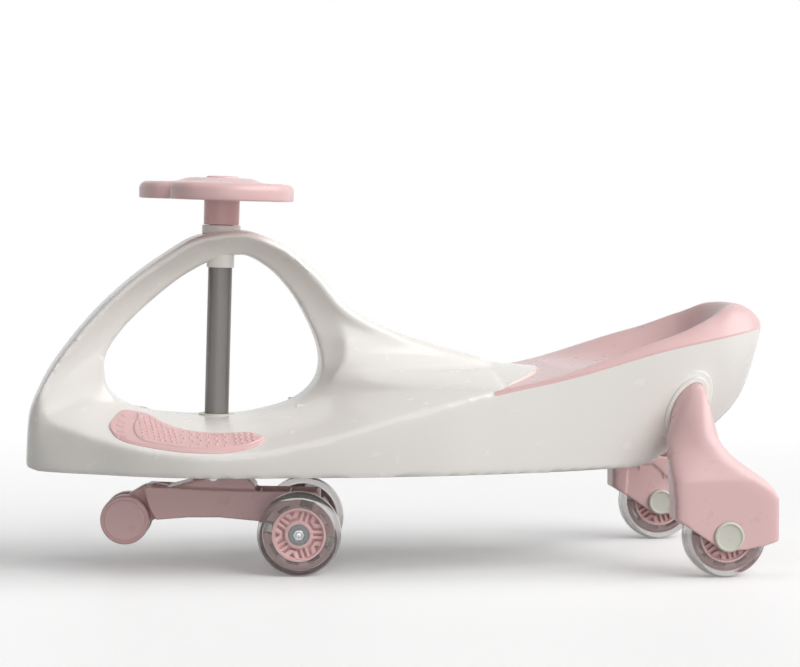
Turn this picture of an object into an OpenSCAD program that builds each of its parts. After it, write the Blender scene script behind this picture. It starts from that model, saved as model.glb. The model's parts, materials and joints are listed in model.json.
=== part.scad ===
// Wiggle car: a child's ride-on toy that is driven by turning the steering wheel from side to side.
// Front is -X, left is -Y, up is +Z. The wheels stand on Z = 0 and the car is centred on the origin.

/* [Body] */
// overall length of the car
car_l = 776; // [760:1:800]
// width of the moulded body at its widest
body_w = 284; // [276:1:292]
// height of the arch above the ground
arch_h = 351; // [346:1:358]
// height of the body's lower edge above the ground
ride_h = 105; // [103:1:107]
// wall thickness of the moulded shell
wall = 4.5; // [4:0.1:5]

/* [Steering] */
// outside diameter of the steering tube
tube_d = 25; // [24:0.2:26]
// wall thickness of the steering tube
tube_t = 1.8; // [1.5:0.1:2.2]
// backward lean of the steering column in degrees
column_lean = 1.7; // [1.2:0.1:2.2]
// angle at which the steering is stored, in degrees to the right
steer_turn = 7.5; // [0:0.5:10]
// width of the steering wheel over its side grips
grip_w = 230; // [216:1:240]
// thickness of the steering wheel's rim
grip_t = 18; // [17:0.5:20]

/* [Wheels] */
// diameter of the running wheels
wheel_d = 86; // [84:1:88]
// width of the running wheels
wheel_w = 24; // [22:0.5:25]
// distance between the middles of the rear wheels
rear_track = 294; // [290:1:298]
// distance between the middles of the front wheels
front_track = 145; // [143:1:149]
// diameter of the axles
axle_d = 8; // [7:0.5:8]
// diameter of the two anti-tip rollers
roller_d = 51; // [48:1:52]

/* [Hidden] */

white = [0.93, 0.92, 0.89];
pink = [0.91, 0.72, 0.72];
steel = [0.62, 0.63, 0.65];
dark_grey = [0.34, 0.34, 0.34];
pale_cap = [0.80, 0.80, 0.75];
clear_grey = [0.70, 0.70, 0.72, 0.5];
$fn = 64;

// Clearances
run_gap = 0.05;
seat_gap = 0.1;
side_gap = 0.6;
eps = 0.01;

// Scale from the drawn form to the chosen size
draw_l = 776;
draw_w = 284;
draw_ride = 105;
draw_arch = 351;
function px(x) = x * car_l / draw_l;
function py(y) = y * body_w / draw_w;
function pz(z) = ride_h + (z - draw_ride) * (arch_h - ride_h) / (draw_arch - draw_ride);
function place(p) = [px(p[0]), py(p[1]), pz(p[2])];

// Smooth curve through a short list of points, without overshoot
function grade(p, i) = (p[i + 1][1] - p[i][1]) / (p[i + 1][0] - p[i][0]);
function blend_grade(a, b) = a * b <= 0 ? 0 : 2 * a * b / (a + b);
function knot_grade(p, i) =
    i == 0 ? grade(p, 0) :
    i == len(p) - 1 ? grade(p, len(p) - 2) :
    blend_grade(grade(p, i - 1), grade(p, i));
function span_of(p, x, i = 0) = i >= len(p) - 2 || x < p[i + 1][0] ? i : span_of(p, x, i + 1);
function hermite(a, b, da, db, t) =
    a * (1 + 2 * t) * (1 - t) * (1 - t) + b * t * t * (3 - 2 * t)
    + da * t * (1 - t) * (1 - t) - db * t * t * (1 - t);
function at(p, x) =
    let (i = span_of(p, x), h = p[i + 1][0] - p[i][0], t = max(0, min(1, (x - p[i][0]) / h)))
    hermite(p[i][1], p[i + 1][1], h * knot_grade(p, i), h * knot_grade(p, i + 1), t);
function mix(a, b, t) = a + (b - a) * t;
function ease(t) = let (u = max(0, min(1, t))) u * u * (3 - 2 * u);

// Closed curve through the rows of a table, one value at a time
function cyc(rows, k, c) = rows[(k + len(rows)) % len(rows)][c];
function cyc_grade(rows, k, c) =
    blend_grade(cyc(rows, k, c) - cyc(rows, k - 1, c), cyc(rows, k + 1, c) - cyc(rows, k, c));
function cyc_at(rows, k, t) = [
    for (c = [0:len(rows[0]) - 1])
        hermite(cyc(rows, k, c), cyc(rows, k + 1, c), cyc_grade(rows, k, c), cyc_grade(rows, k + 1, c), t)
];

// Faces of a grid of points that closes around its columns
function tube_faces(n, k) = [
    for (i = [0:n - 2], j = [0:k - 1])
        let (a = i * k + j, b = i * k + (j + 1) % k, c = (i + 1) * k + (j + 1) % k, d = (i + 1) * k + j)
            each [[a, b, c], [a, c, d]]
];
function ring_faces(n, k) = concat(tube_faces(n, k), [
    for (j = [0:k - 1])
        let (a = (n - 1) * k + j, b = (n - 1) * k + (j + 1) % k, c = (j + 1) % k, d = j)
            each [[a, b, c], [a, c, d]]
]);
module loft(sections) {
    n = len(sections);
    k = len(sections[0]);
    polyhedron(
        points = [for (s = sections) each s],
        faces = concat(tube_faces(n, k),
            [[for (j = [k - 1:-1:0]) j]],
            [[for (j = [0:k - 1]) (n - 1) * k + j]]));
}
module closed_ring(sections) {
    polyhedron(points = [for (s = sections) each s], faces = ring_faces(len(sections), len(sections[0])));
}
// A sheet with an upper and a lower grid of points, closed around its edge
module sheet(upper, lower) {
    n = len(upper);
    k = len(upper[0]);
    m = 2 * k;
    e = (n - 1) * m;
    polyhedron(
        points = [for (i = [0:n - 1]) each concat(upper[i], [for (j = [k - 1:-1:0]) lower[i][j]])],
        faces = concat(tube_faces(n, m),
            [for (j = [0:k - 2]) each [[j, m - 1 - j, m - 2 - j], [j, m - 2 - j, j + 1]]],
            [for (j = [0:k - 2]) each [
                [e + j, e + j + 1, e + m - 2 - j],
                [e + j, e + m - 2 - j, e + m - 1 - j]
            ]]));
}

// Lines of the body, drawn at the nominal size
side_line = [
    [-388, 8], [-378, 32], [-356, 52], [-322, 74], [-268, 108], [-212, 128], [-125, 138], [-50, 142],
    [20, 139.5], [90, 129], [150, 118.5], [200, 112], [255, 106], [325, 90], [368, 58], [384, 28], [388, 8]
];
crease_line = [
    [-388, 178], [-373, 169], [-363, 156], [-340, 148], [-314, 140], [-281, 133], [-250, 129.2],
    [-216, 128], [-190, 128], [-160, 130], [-130, 136], [-103, 141.8],
    [-17, 166], [80, 189], [189, 208.5], [264, 227.2], [339, 240.7], [388, 248]
];
lower_line = [
    [-388, 105], [140, 105], [234, 108], [270, 122], [323, 145], [363, 175], [382, 216], [388, 243]
];
turn_in = [[-388, 0.975], [150, 0.975], [230, 0.93], [270, 0.86], [340, 0.66], [388, 0.5]];
sill_line = [
    [-305, 175], [-299, 172.5], [-290, 170.3], [-281, 167.6], [-270, 165], [-245, 160.5], [-200, 158],
    [-165, 159], [-140, 163]
];
// Rise of the platform between the sill and the crease
dome_line = [
    [-305, 2], [-290, 3.6], [-281, 4.1], [-270, 5.2], [-260, 5.8], [-245, 6.1], [-225, 5.7], [-205, 6],
    [-160, 6.6], [-140, 6.6]
];
sill_y = 28;
sill_lip = 1;
function side_at(x) = at(side_line, x);
function crease_at(x) = at(crease_line, x);
function low_at(x) = at(lower_line, x);

// A ray from the arch opening out over the platform to the crease and the lower edge
plain_at = 0.3;
function low_ray(hole, x_crease, x_low, swell, dome = 0, bump = 0, bump_at = plain_at) = [
    hole[0], hole[1], hole[2],
    x_crease, crease_at(x_crease), side_at(x_crease),
    x_low, low_at(x_low), side_at(x_low) * at(turn_in, x_low),
    swell, 0, bump, bump_at, dome
];
// A ray from the arch opening across the strap to its outer face
strap_y = 38;
strap_edge_y = 31;
strap_crown = 1.5;
function strap_ray(hole, edge, outer, swell, bump = 0, bump_at = plain_at) = [
    hole[0], hole[1], hole[2], edge[0], edge[1], edge[2], outer[0], outer[1], outer[2],
    swell, strap_crown, bump, bump_at, 0
];
// The front part of the body ends here, inside the rear part
join_x = 90;
function hood_ray(hole, edge, outer, swell, bump, bump_at) = [
    hole[0], hole[1], hole[2], join_x, edge[0], edge[1], join_x, outer[0], outer[1],
    swell, 0, bump, bump_at, 0
];
rays = [
    low_ray([-200, 158, 26], -212, -212, 0, 6.5),
    low_ray([-245, 160.5, 27], -268, -266, 0, 7.5),
    low_ray([-281, 168.5, 29], -322, -320, 0, 6.5),
    low_ray([-299.5, 181, 30], -355, -356, 0, 3.5),
    low_ray([-307.5, 195, 29], -367, -378, 0),
    strap_ray([-309, 212, 28], [-371, 176, 41], [-387, 110, 14], 0),
    strap_ray([-305, 228, 25], [-360, 203, 40], [-364, 199, strap_edge_y], -2),
    strap_ray([-290, 249.5, 21], [-338, 241, 39], [-343, 242, strap_edge_y], -3),
    strap_ray([-258, 280, 17], [-303, 280, strap_y], [-307, 282, strap_edge_y], -3),
    strap_ray([-222, 307, 14], [-256, 316, strap_y], [-258, 320, strap_edge_y], -3),
    strap_ray([-188, 323, 13], [-208, 342, strap_y], [-208, 347, strap_edge_y], -3),
    strap_ray([-165, 326, 13], [-168, 345, strap_y], [-168, 350, strap_edge_y], -3),
    strap_ray([-140, 314.5, 14], [-134, 332, 37], [-131, 336, 30], -3),
    strap_ray([-116, 290.5, 16], [-98, 304, 36], [-94, 308, 29], -3),
    strap_ray([-96, 257, 18], [-64, 266, 36], [-59, 270, 28], -2, 0, 0.6),
    strap_ray([-86.5, 234, 20], [-10, 241, 34], [-8, 245, 26], 3, 9, 0.34),
    strap_ray([-83.5, 221, 22], [40, 224, 33], [42, 228, 24], 8, 11, 0.18),
    hood_ray([-83, 212, 24], [209, 30], [212, 20], 20, 10, 0.11),
    hood_ray([-84, 204, 25], [204, 58], [190, 30], 22, 8, 0.08),
    hood_ray([-86, 197, 26], [198, 92], [160, 50], 22, 5, 0.07),
    low_ray([-89.5, 190.5, 27], join_x, join_x, 14, 0, 2, 0.07),
    low_ray([-97, 182, 28], 20, 20, 4, 1.5, 0, 0.1),
    low_ray([-112, 172, 29], -50, -55, 0, 5, 0, 0.2),
    low_ray([-138, 163.5, 28], -125, -125, 0, 6.5),
    low_ray([-168, 158.5, 27], -168, -168, 0, 6.5)
];
ray_steps = 3;
// The flank swells evenly, and beside the arch it has a shoulder a little way out from the opening
function shoulder(s, peak) = s < peak ? pow(s / peak, 1.6) : pow((1 - s) / (1 - peak), 2);
function across(peak) = [0, peak / 2, peak, mix(peak, 1, 0.22), mix(peak, 1, 0.5), mix(peak, 1, 0.8), 1];
function flank(r) = [
    for (s = across(r[12])) let (even = 4 * s * (1 - s)) [
        mix(r[0], r[3], s),
        mix(r[2], r[5], s) + even * r[9] + r[11] * shoulder(s, r[12]),
        mix(r[1], r[4], s) + even * r[13]
    ]
];
function skirt(r) = [[mix(r[3], r[6], 0.5), mix(r[5], r[8], 0.25), mix(r[4], r[7], 0.5)], [r[6], r[8], r[7]]];
function reach(r) = norm([r[6] - r[0], r[7] - r[1]]);
function outer_mid(r) = [
    r[6] + (r[6] - r[0]) / reach(r) * r[10], 0, r[7] + (r[7] - r[1]) / reach(r) * r[10]
];
function inner_mid(r) = [
    r[0] - (r[6] - r[0]) / reach(r) * sill_lip, 0, r[1] - (r[7] - r[1]) / reach(r) * sill_lip
];
function right_side(q) = [q[0], -q[1], q[2]];
function ray_section(r) =
    let (half = concat(flank(r), skirt(r)), n = len(half))
    [
        for (p = concat(
            [for (q = half) right_side(q)],
            [outer_mid(r)],
            [for (i = [n - 1:-1:0]) half[i]],
            [inner_mid(r)])) place(p)
    ];
module front_form() {
    closed_ring([
        for (k = [0:len(rays) - 1], i = [0:ray_steps - 1]) ray_section(cyc_at(rays, k, i / ray_steps))
    ]);
}

// The rear part of the body, under the seat
top_line = [[86, 212], [125, 208], [150, 206], [189, 210], [264, 228], [339, 241], [388, 248]];
rear_x = [86, 105, 125, 145, 165, 190, 215, 240, 262, 282, 302, 322, 340, 355, 368, 378, 384, 388];
function rear_half(x) =
    let (w = side_at(x), zc = crease_at(x), zl = low_at(x), zt = max(at(top_line, x), zc), f = at(turn_in, x))
    [
        [x, w * f, zl],
        [x, w * mix(f, 1, 0.55), mix(zl, zc, 0.3)],
        [x, w * mix(f, 1, 0.9), mix(zl, zc, 0.65)],
        [x, w, zc],
        [x, w * 0.68, mix(zc, zt, 0.3)],
        [x, w * 0.43, mix(zc, zt, 0.6)],
        [x, w * 0.21, mix(zc, zt, 0.85)],
        [x, w * 0.14, zt]
    ];
module rear_form() {
    loft([
        for (x = rear_x) let (h = rear_half(x)) [
            for (p = concat([for (q = h) right_side(q)], [for (i = [len(h) - 1:-1:0]) h[i]])) place(p)
        ]
    ]);
}

// The hollow underneath, open at the bottom
roof_line = [
    [-352, 120], [-340, 144], [-300, 155], [-282, 157], [-245, 153], [-165, 152], [-118, 158], [-60, 176],
    [0, 188], [90, 190], [240, 188], [272, 170], [292, 150]
];
hollow_x = [
    -352, -345, -330, -305, -275, -240, -205, -165, -125, -85, -40, 10, 60, 110, 160, 205, 240, 262, 280, 292
];
hollow_depth = 60;
function hollow_half(x) =
    let (w = side_at(x), zc = min(crease_at(x), at(roof_line, x) + wall), zl = low_at(x), f = at(turn_in, x),
        zr = at(roof_line, x))
    [
        [x, w * f - wall, zl - hollow_depth],
        [x, w * f - wall, zl],
        [x, w * mix(f, 1, 0.8) - wall, mix(zl, zc, 0.6)],
        [x, w * 0.93 - wall, zc - wall],
        [x, w * 0.5, min(mix(zc, zr, 0.5) - wall * 0.3, zr)],
        [x, w * 0.14, zr]
    ];
module hollow() {
    loft([
        for (x = hollow_x) let (h = hollow_half(x)) [
            for (p = concat([for (q = h) right_side(q)], [for (i = [len(h) - 1:-1:0]) h[i]])) place(p)
        ]
    ]);
}

// Steering column: its own frame leans back about the point where the axis meets the platform
axis_x = px(-191.5);
axis_z = pz(164);
module on_column() {
    translate([axis_x, 0, axis_z]) rotate([0, column_lean, 0]) children();
}
function up_column(z) = (z - axis_z) / cos(column_lean);
// The same frame turned with the steering
module on_steering() {
    on_column() rotate([0, 0, -steer_turn]) children();
}
// The level frame of the truck, turned about the axis at the truck's height
truck_level = 70;
truck_x = axis_x - (axis_z - truck_level) * tan(column_lean);
module on_truck() {
    translate([truck_x, 0, 0]) rotate([0, 0, -steer_turn]) children();
}
tube_r = tube_d / 2;
bush_bore_r = tube_r + run_gap;
bush_t = 1.8;
bush_r = bush_bore_r + bush_t;
collar_r = tube_r + 7.5;
collar_h = 9;
collar_top = up_column(pz(356));
upper_bush_low = up_column(pz(312));
floor_z = pz(158 + sill_lip);
flange_r = tube_r + 6;
flange_t = 2.6;
flange_low = up_column(floor_z) - 1.6;
lower_bush_low = up_column(pz(129));
washer_t = 4;
washer_gap = 0.4;
tower_top = lower_bush_low - washer_gap - washer_t;
neck_r = tube_r + 6;
neck_low = collar_top + 0.5;
grip_low = up_column(pz(382));
tube_top = grip_low + 6;
tube_low = up_column(pz(68));

// Rear axle and wheels
axle_r = axle_d / 2;
wheel_r = wheel_d / 2;
rear_axle_x = px(314);
rear_y = rear_track / 2;
front_axle_x = 91;
front_y = front_track / 2;

// Leg socket on the body's side
socket_x = px(286);
socket_z = pz(170);
socket_tilt = 60;
socket_y = py(94);
socket_steps = [[80, 46, 13], [67, 36, 18]];
root_l = 54;
root_w = 27;
root_gap = 0.3;
module oval(l, w, h) {
    rotate([0, 0, socket_tilt]) linear_extrude(h) resize([l, w]) circle(d = l, $fn = 32);
}
module at_socket(y) {
    translate([socket_x, -y, socket_z]) rotate([90, 0, 0]) children();
}
socket_in = 22;
module socket(side) {
    mirror([0, side > 0 ? 1 : 0, 0])
        for (s = socket_steps)
            at_socket(socket_y - socket_in) oval(s[0], s[1], s[2] + socket_in - 8);
}
root_depth = 14;
socket_face = socket_y - 8 + socket_steps[1][2];

// Ribs in the hollow, tapered towards their free edge
rib_t = 2.6;
rib_bite = 1.5;
rib_low = pz(136);
rib_x = [-308, -262, -112, -62, -12, 40, 96, 152, 208];
function rib_half(x) =
    let (h = hollow_half(x))
    [for (i = [2:5]) [py(h[i][1]) + rib_bite, pz(h[i][2]) + rib_bite]];
module rib_slice(x, low, t) {
    h = rib_half(x);
    up = [for (q = h) if (q[1] > low) q];
    translate([px(x) - t / 2, 0, 0]) rotate([90, 0, 90]) linear_extrude(t)
        polygon(concat(
            [[up[0][0], low]], up,
            [for (i = [len(up) - 1:-1:0]) [-up[i][0], up[i][1]]],
            [[-up[0][0], low]]));
}
module rib_across(x) {
    hull() {
        rib_slice(x, pz(146), rib_t);
        rib_slice(x, rib_low, rib_t / 2);
    }
}
spine_x = -112;
spine_l = 320;
spine_y = 46;
spine_z = 172;
module ribs() {
    for (x = rib_x) rib_across(x);
    for (side = [-1, 1])
        translate([px(spine_x), side * py(spine_y) - rib_t / 2, rib_low])
            cube([px(spine_l), rib_t, pz(spine_z) - rib_low]);
}

// Seat: a saddle with a rim that rises into a back rest
tongue_x = 147;
seat_tip_x = 80;
seat_end_x = 387;
seat_half_across = [0.12, 0.28, 0.45, 0.62, 0.78, 0.9, 0.97, 1];
seat_across = concat([for (i = [7:-1:0]) -seat_half_across[i]], [0], seat_half_across);
seat_along = [
    0, 0.04, 0.1, 0.18, 0.28, 0.38, 0.48, 0.57, 0.65, 0.72, 0.78, 0.83, 0.87, 0.905, 0.935, 0.96, 0.98, 1
];
edge_up = [[80, 0.4], [160, 0.8], [260, 2], [388, 2]];
crest_in = [[80, 6], [180, 9], [260, 14], [310, 22], [340, 34], [388, 34]];
crest_up = [[80, 0.5], [130, 1], [160, 2.5], [200, 6], [270, 10], [320, 20], [345, 27], [388, 27]];
pan_line = [[80, 189], [147, 205], [200, 211], [260, 217], [300, 223], [345, 240], [388, 246]];
bowl_w = [[80, 40], [180, 38], [260, 36], [320, 32], [388, 28]];
seat_t = 5;
function tongue_edge(v) = mix(tongue_x, seat_tip_x, pow(abs(v), 1.8));
function seat_x(u, v) = mix(tongue_edge(v), seat_end_x, u);
function edge_in(x, y) =
    let (a = max(0.01, side_at(x) - abs(y)), b = 389 - x) pow(pow(a, -4) + pow(b, -4), -0.25);
// The wall of the seat rolls off its crest and meets the pan at an angle
function drop(t) = let (u = max(0, min(1, t))) mix(ease(u), pow(u, 1.4), 0.6);
function seat_top(x, y) =
    let (d = edge_in(x, y), c = at(crest_in, x), h = at(crest_up, x), zc = crease_at(x), zp = at(pan_line, x),
        e = at(edge_up, x), crest = zc + e + h)
    d < c ? zc + e + h * sin(90 * max(0, d) / c)
          : mix(crest, min(zp, crest), drop((d - c) / at(bowl_w, x)));
function seat_low(x, y) = min(crease_at(x), seat_top(x, y) - seat_t);
function seat_grid(upper) = [
    for (u = seat_along) [
        for (v = seat_across)
            let (x = seat_x(u, v), y = v * side_at(x))
                place([x, y, upper ? seat_top(x, y) : seat_low(x, y)])
    ]
];
module seat_form() {
    sheet(seat_grid(true), seat_grid(false));
}
// The seat's underside, carried on past its edges so that the pocket cuts clean through the shell
pocket_out = 3;
pocket_up = 60;
function last(v) = v[len(v) - 1];
function wider(row) = concat(
    [row[0] - [0, pocket_out, 0]], row, [last(row) + [0, pocket_out, 0]]
);
function moved(row, d) = [for (q = row) q + d];
function pocket_grid(lift) =
    let (g = [for (row = seat_grid(false)) moved(wider(row), [0, 0, lift])])
    concat([moved(g[0], [-seat_gap, 0, 0])], g, [moved(last(g), [pocket_out, 0, 0])]);
module seat_pocket() {
    sheet(pocket_grid(pocket_up), pocket_grid(-run_gap));
}
seat_screw_at = [[185, 55], [275, 42]];
screw_r = 2;
pilot_r = screw_r + run_gap;
screw_head_r = 4.2;
screw_head_h = 3;
seat_screw_bite = 3.5;
seat_screw_grip = 12;
leg_screw_wall = 5;
module at_seat_screw(p) {
    translate([px(p[0]), -py(p[1]), pz(seat_low(p[0], p[1])) - seat_screw_grip]) children();
}
module at_leg_screw(s) {
    at_socket(socket_face - root_depth - leg_screw_wall) rotate([0, 0, socket_tilt])
        translate([s * leg_screw_at, 0, 0]) children();
}
leg_screw_at = 12;
leg_screw_bite = 9;

// Foot pads: foot-shaped inserts that follow the platform
pad_inner = [
    [-305, 63], [-299, 51], [-290, 38], [-280, 34], [-269, 35], [-262, 41], [-251, 57], [-238, 70],
    [-222, 79], [-199, 87], [-182, 89], [-165, 92], [-156, 100], [-150.5, 109]
];
pad_outer = [
    [-305, 66], [-300.5, 77], [-291.5, 87], [-280, 95], [-269, 101], [-251, 109.5], [-230, 118.5],
    [-202, 125], [-185, 126], [-173, 125.5], [-159, 121], [-152, 115], [-150.5, 112]
];
pad_x = [-305, -302, -297, -290, -281, -271, -262, -252, -238, -222, -202, -182, -167, -158, -153, -150.5];
pad_across = [0, 0.07, 0.3, 0.5, 0.7, 0.93, 1];
pad_up = 1.8;
pad_down = 2.2;
function floor_at(x, y) =
    let (w = side_at(x), t = max(0, min(1, (w - abs(y)) / (w - sill_y))))
    mix(crease_at(x), at(sill_line, x), t) + 4 * t * (1 - t) * at(dome_line, x);
function pad_edge(i) = pad_across[i] == 0 || pad_across[i] == 1 ? 1 : 0;
function pad_grid(upper, gap) = [
    for (x = pad_x) [
        for (i = [0:len(pad_across) - 1])
            let (
                a = at(pad_inner, x) - gap,
                b = at(pad_outer, x) + gap,
                y = mix(a, b, pad_across[i]),
                end = x == pad_x[0] ? -gap : x == pad_x[len(pad_x) - 1] ? gap : 0
            )
                place([x + end, -y, floor_at(x, y) + upper - (upper > 0 && gap == 0 ? pad_edge(i) : 0)])
    ]
];
module pad_form() {
    sheet(pad_grid(-pad_down, 0), pad_grid(pad_up, 0));
}
module pad_pocket() {
    sheet(pad_grid(-pad_down, seat_gap), pad_grid(20, seat_gap));
}

// The way of a screw through the shell, with room for its head behind
way_over = 4;
way_back = 60;
module screw_way(l) {
    translate([0, 0, -eps]) cylinder(r = pilot_r + seat_gap, h = l + way_over, $fn = 16);
    translate([0, 0, -way_back]) cylinder(r = screw_head_r + 2 * seat_gap, h = way_back, $fn = 16);
}
module body_shell() {
    color(white) difference() {
        union() {
            difference() {
                union() {
                    front_form();
                    rear_form();
                    for (side = [-1, 1]) socket(side);
                }
                hollow();
            }
            ribs();
            on_column() translate([0, 0, lower_bush_low])
                cylinder(r = bush_r + wall, h = flange_low - lower_bush_low, $fn = 48);
        }
        seat_pocket();
        pad_pocket();
        mirror([0, 1, 0]) pad_pocket();
        on_column() translate([0, 0, lower_bush_low - 40])
            cylinder(r = bush_r + seat_gap, h = collar_top - lower_bush_low + 40, $fn = 48);
        on_column() translate([0, 0, flange_low]) cylinder(r = flange_r + seat_gap, h = 12, $fn = 48);
        on_column() translate([0, 0, collar_top - collar_h])
            cylinder(r = collar_r + seat_gap, h = collar_h + 20, $fn = 48);
        for (side = [0, 1])
            mirror([0, side, 0]) {
                at_socket(socket_face - root_depth)
                    oval(root_l + 2 * root_gap, root_w + 2 * root_gap, root_depth + 20);
                for (p = seat_screw_at)
                    at_seat_screw(p) screw_way(seat_screw_grip);
                for (s = [-1, 1])
                    at_leg_screw(s) screw_way(leg_screw_wall);
            }
    }
}

module seat() {
    color(pink) difference() {
        seat_form();
        for (side = [0, 1], p = seat_screw_at)
            mirror([0, side, 0]) at_seat_screw(p)
                cylinder(r = pilot_r, h = seat_screw_grip + seat_screw_bite);
    }
}

module foot_pad(side) {
    color(pink) mirror([0, side > 0 ? 1 : 0, 0]) pad_form();
}

module upper_bush() {
    color(white) on_column() difference() {
        union() {
            translate([0, 0, upper_bush_low]) cylinder(r = bush_r, h = collar_top - upper_bush_low);
            translate([0, 0, collar_top - collar_h]) cylinder(r = collar_r, h = collar_h);
        }
        translate([0, 0, upper_bush_low - 1]) cylinder(r = bush_bore_r, h = collar_top - upper_bush_low + 2);
    }
}

module lower_bush() {
    color(pale_cap) on_column() difference() {
        union() {
            translate([0, 0, lower_bush_low])
                cylinder(r = bush_r, h = flange_low + flange_t - lower_bush_low);
            translate([0, 0, flange_low]) cylinder(r = flange_r, h = flange_t);
        }
        translate([0, 0, lower_bush_low - 1])
            cylinder(r = bush_bore_r, h = flange_low + flange_t - lower_bush_low + 2);
    }
}

module thrust_washer() {
    color(steel) on_column() translate([0, 0, tower_top]) difference() {
        cylinder(r = bush_r + 3, h = washer_t);
        translate([0, 0, -1]) cylinder(r = bush_bore_r, h = washer_t + 2);
    }
}

module column_tube() {
    color(dark_grey) on_steering() difference() {
        translate([0, 0, tube_low]) cylinder(r = tube_r, h = tube_top - tube_low);
        translate([0, 0, tube_low - 1]) cylinder(r = tube_r - tube_t, h = tube_top - tube_low + 2);
        translate([0, 0, neck_cross]) rotate([90, 0, 0]) cylinder(r = pilot_r, h = 4 * tube_r, center = true);
        translate([0, 0, tower_cross]) rotate([90, 0, 0])
            cylinder(r = bolt_r + run_gap, h = 4 * tube_r, center = true);
    }
}
neck_cross = (neck_low + grip_low) / 2;
bolt_r = 3;
tower_cross = up_column(pz(97));

// Steering wheel: three rounded lobes about the column
lobe = [
    [0, 0.50], [20, 0.60], [38, 0.80], [60, 0.96], [80, 1],
    [100, 0.95], [121, 0.79], [135, 0.60], [150, 0.67], [180, 0.75]
];
grip_turns = 72;
function lobe_r(a) = grip_w / 2 * at(lobe, a > 180 ? 360 - a : a);
grip_rings = [
    [2, 0, 1], [0, 2, 1], [0, 10.5, 1], [1.2, 14, 1], [3.5, 16.6, 1], [7, 18, 1],
    [7, 18, 0.7], [7, 19.5, 0.58], [7, 22.4, 0.46], [7, 23, 0.38]
];
function grip_section(g) = [
    for (i = [0:grip_turns - 1])
        let (a = 360 - (i + 1) * 360 / grip_turns, r = (lobe_r(a) - g[0]) * g[2])
            [r * cos(a), r * sin(a), g[1] * grip_t / 18]
];
cap_r = 17;
cap_up = 2;
hub_top = grip_low + 23 * grip_t / 18;
module steering_wheel() {
    color(pink) on_steering() difference() {
        union() {
            translate([0, 0, grip_low]) loft([for (g = grip_rings) grip_section(g)]);
            translate([0, 0, neck_low]) cylinder(r = neck_r, h = grip_low + 8 - neck_low);
        }
        translate([0, 0, neck_low - 1]) cylinder(r = tube_r + run_gap, h = tube_top - neck_low + 1);
        translate([0, 0, hub_top - 4]) cylinder(r = cap_r + seat_gap, h = 10);
        translate([0, 0, neck_cross]) rotate([90, 0, 0]) cylinder(r = pilot_r, h = 4 * neck_r, center = true);
    }
}
module steering_cap() {
    color(pink) on_column() translate([0, 0, hub_top - 4]) rotate_extrude()
        polygon([[0, 0], [cap_r, 0], [cap_r, 4], [cap_r - 2, 4 + cap_up], [0, 4 + cap_up]]);
}
module neck_screw() {
    color(steel) on_steering() translate([0, 0, neck_cross]) rotate([90, 0, 0])
        cylinder(r = screw_r, h = 2 * neck_r - 2, center = true);
}

// Truck: an open-topped arm that carries the front wheels behind the column and the rollers ahead of it
arm_t = 4;
arm_y = 26;
arm_low = 51;
arm_top = 86;
arm_front = -72;
arm_back = front_axle_x + 20;
nose_y = 8.5;
roller_x = -91.5;
roller_z = 50.7;
roller_w = 17;
roller_y = nose_y + side_gap + roller_w / 2;
pin_r = 4;
boss_r = 9;
module arm_profile() {
    polygon([
        [arm_front + 13, arm_low], [arm_front + 45, arm_low + 2.5], [arm_front + 80, arm_low + 2.5],
        [front_axle_x - 43, arm_low - 1.5], [front_axle_x - 14, arm_low - 6], [front_axle_x - 11, 34],
        [front_axle_x + 11, 34], [arm_back, arm_low], [arm_back, arm_top - 6],
        [front_axle_x - 40, arm_top - 5], [arm_front + 70, arm_top - 3.5], [arm_front + 26, arm_top - 0.8],
        [arm_front + 4, arm_top], [arm_front, arm_top - 2], [arm_front + 7, arm_low + 11]
    ]);
}
module nose_profile() {
    polygon([
        [roller_x - 12, roller_z + 5], [roller_x - 8, roller_z + 17], [roller_x + 6.5, arm_top - 7.5],
        [roller_x + 18, arm_top - 0.6], [roller_x + 30, arm_top + 1.5], [roller_x + 42, arm_top - 1],
        [roller_x + 42, arm_low + 5], [arm_front + 13, arm_low], [roller_x + 12, roller_z - 11],
        [roller_x, roller_z - 13], [roller_x - 9, roller_z - 9]
    ]);
}
module flat_y(half_w) {
    rotate([90, 0, 0]) translate([0, 0, -half_w]) linear_extrude(2 * half_w) children();
}
tower_r = bush_r + 8;
tray_floor = 4;
module truck_tower() {
    flat_y(tower_r)
        polygon([
            [-48, arm_low + 6], [-48, arm_top - 2], [-40, arm_top], [-9, arm_top + 8], [-6, arm_top + 18],
            [30, arm_top + 18], [37, arm_top + 7], [44, arm_top], [44, arm_low + 6]
        ]);
}
truck_rib_x = [-57, 49, 80];
module truck_arm() {
    difference() {
        flat_y(arm_y) arm_profile();
        translate([0, 0, tray_floor]) flat_y(arm_y - arm_t)
            polygon([
                [arm_front + 15, arm_low + 4], [front_axle_x - 18, arm_low + 2], [front_axle_x - 9, 40],
                [front_axle_x + 9, 40], [arm_back - arm_t, arm_low + 4], [arm_back - arm_t, arm_top + 20],
                [arm_front + 9, arm_top + 20]
            ]);
    }
    flat_y(nose_y) nose_profile();
    for (x = truck_rib_x)
        translate([x - rib_t / 2, eps - arm_y, arm_low + 3])
            cube([rib_t, 2 * (arm_y - eps), arm_top - 9 - arm_low]);
    truck_tower();
    translate([front_axle_x, 0, wheel_r]) rotate([90, 0, 0])
        cylinder(r = boss_r, h = 2 * (front_y - wheel_w / 2 - side_gap), center = true);
    translate([roller_x, 0, roller_z]) rotate([90, 0, 0])
        cylinder(r = boss_r, h = 2 * (roller_y - roller_w / 2 - side_gap), center = true);
}
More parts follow.
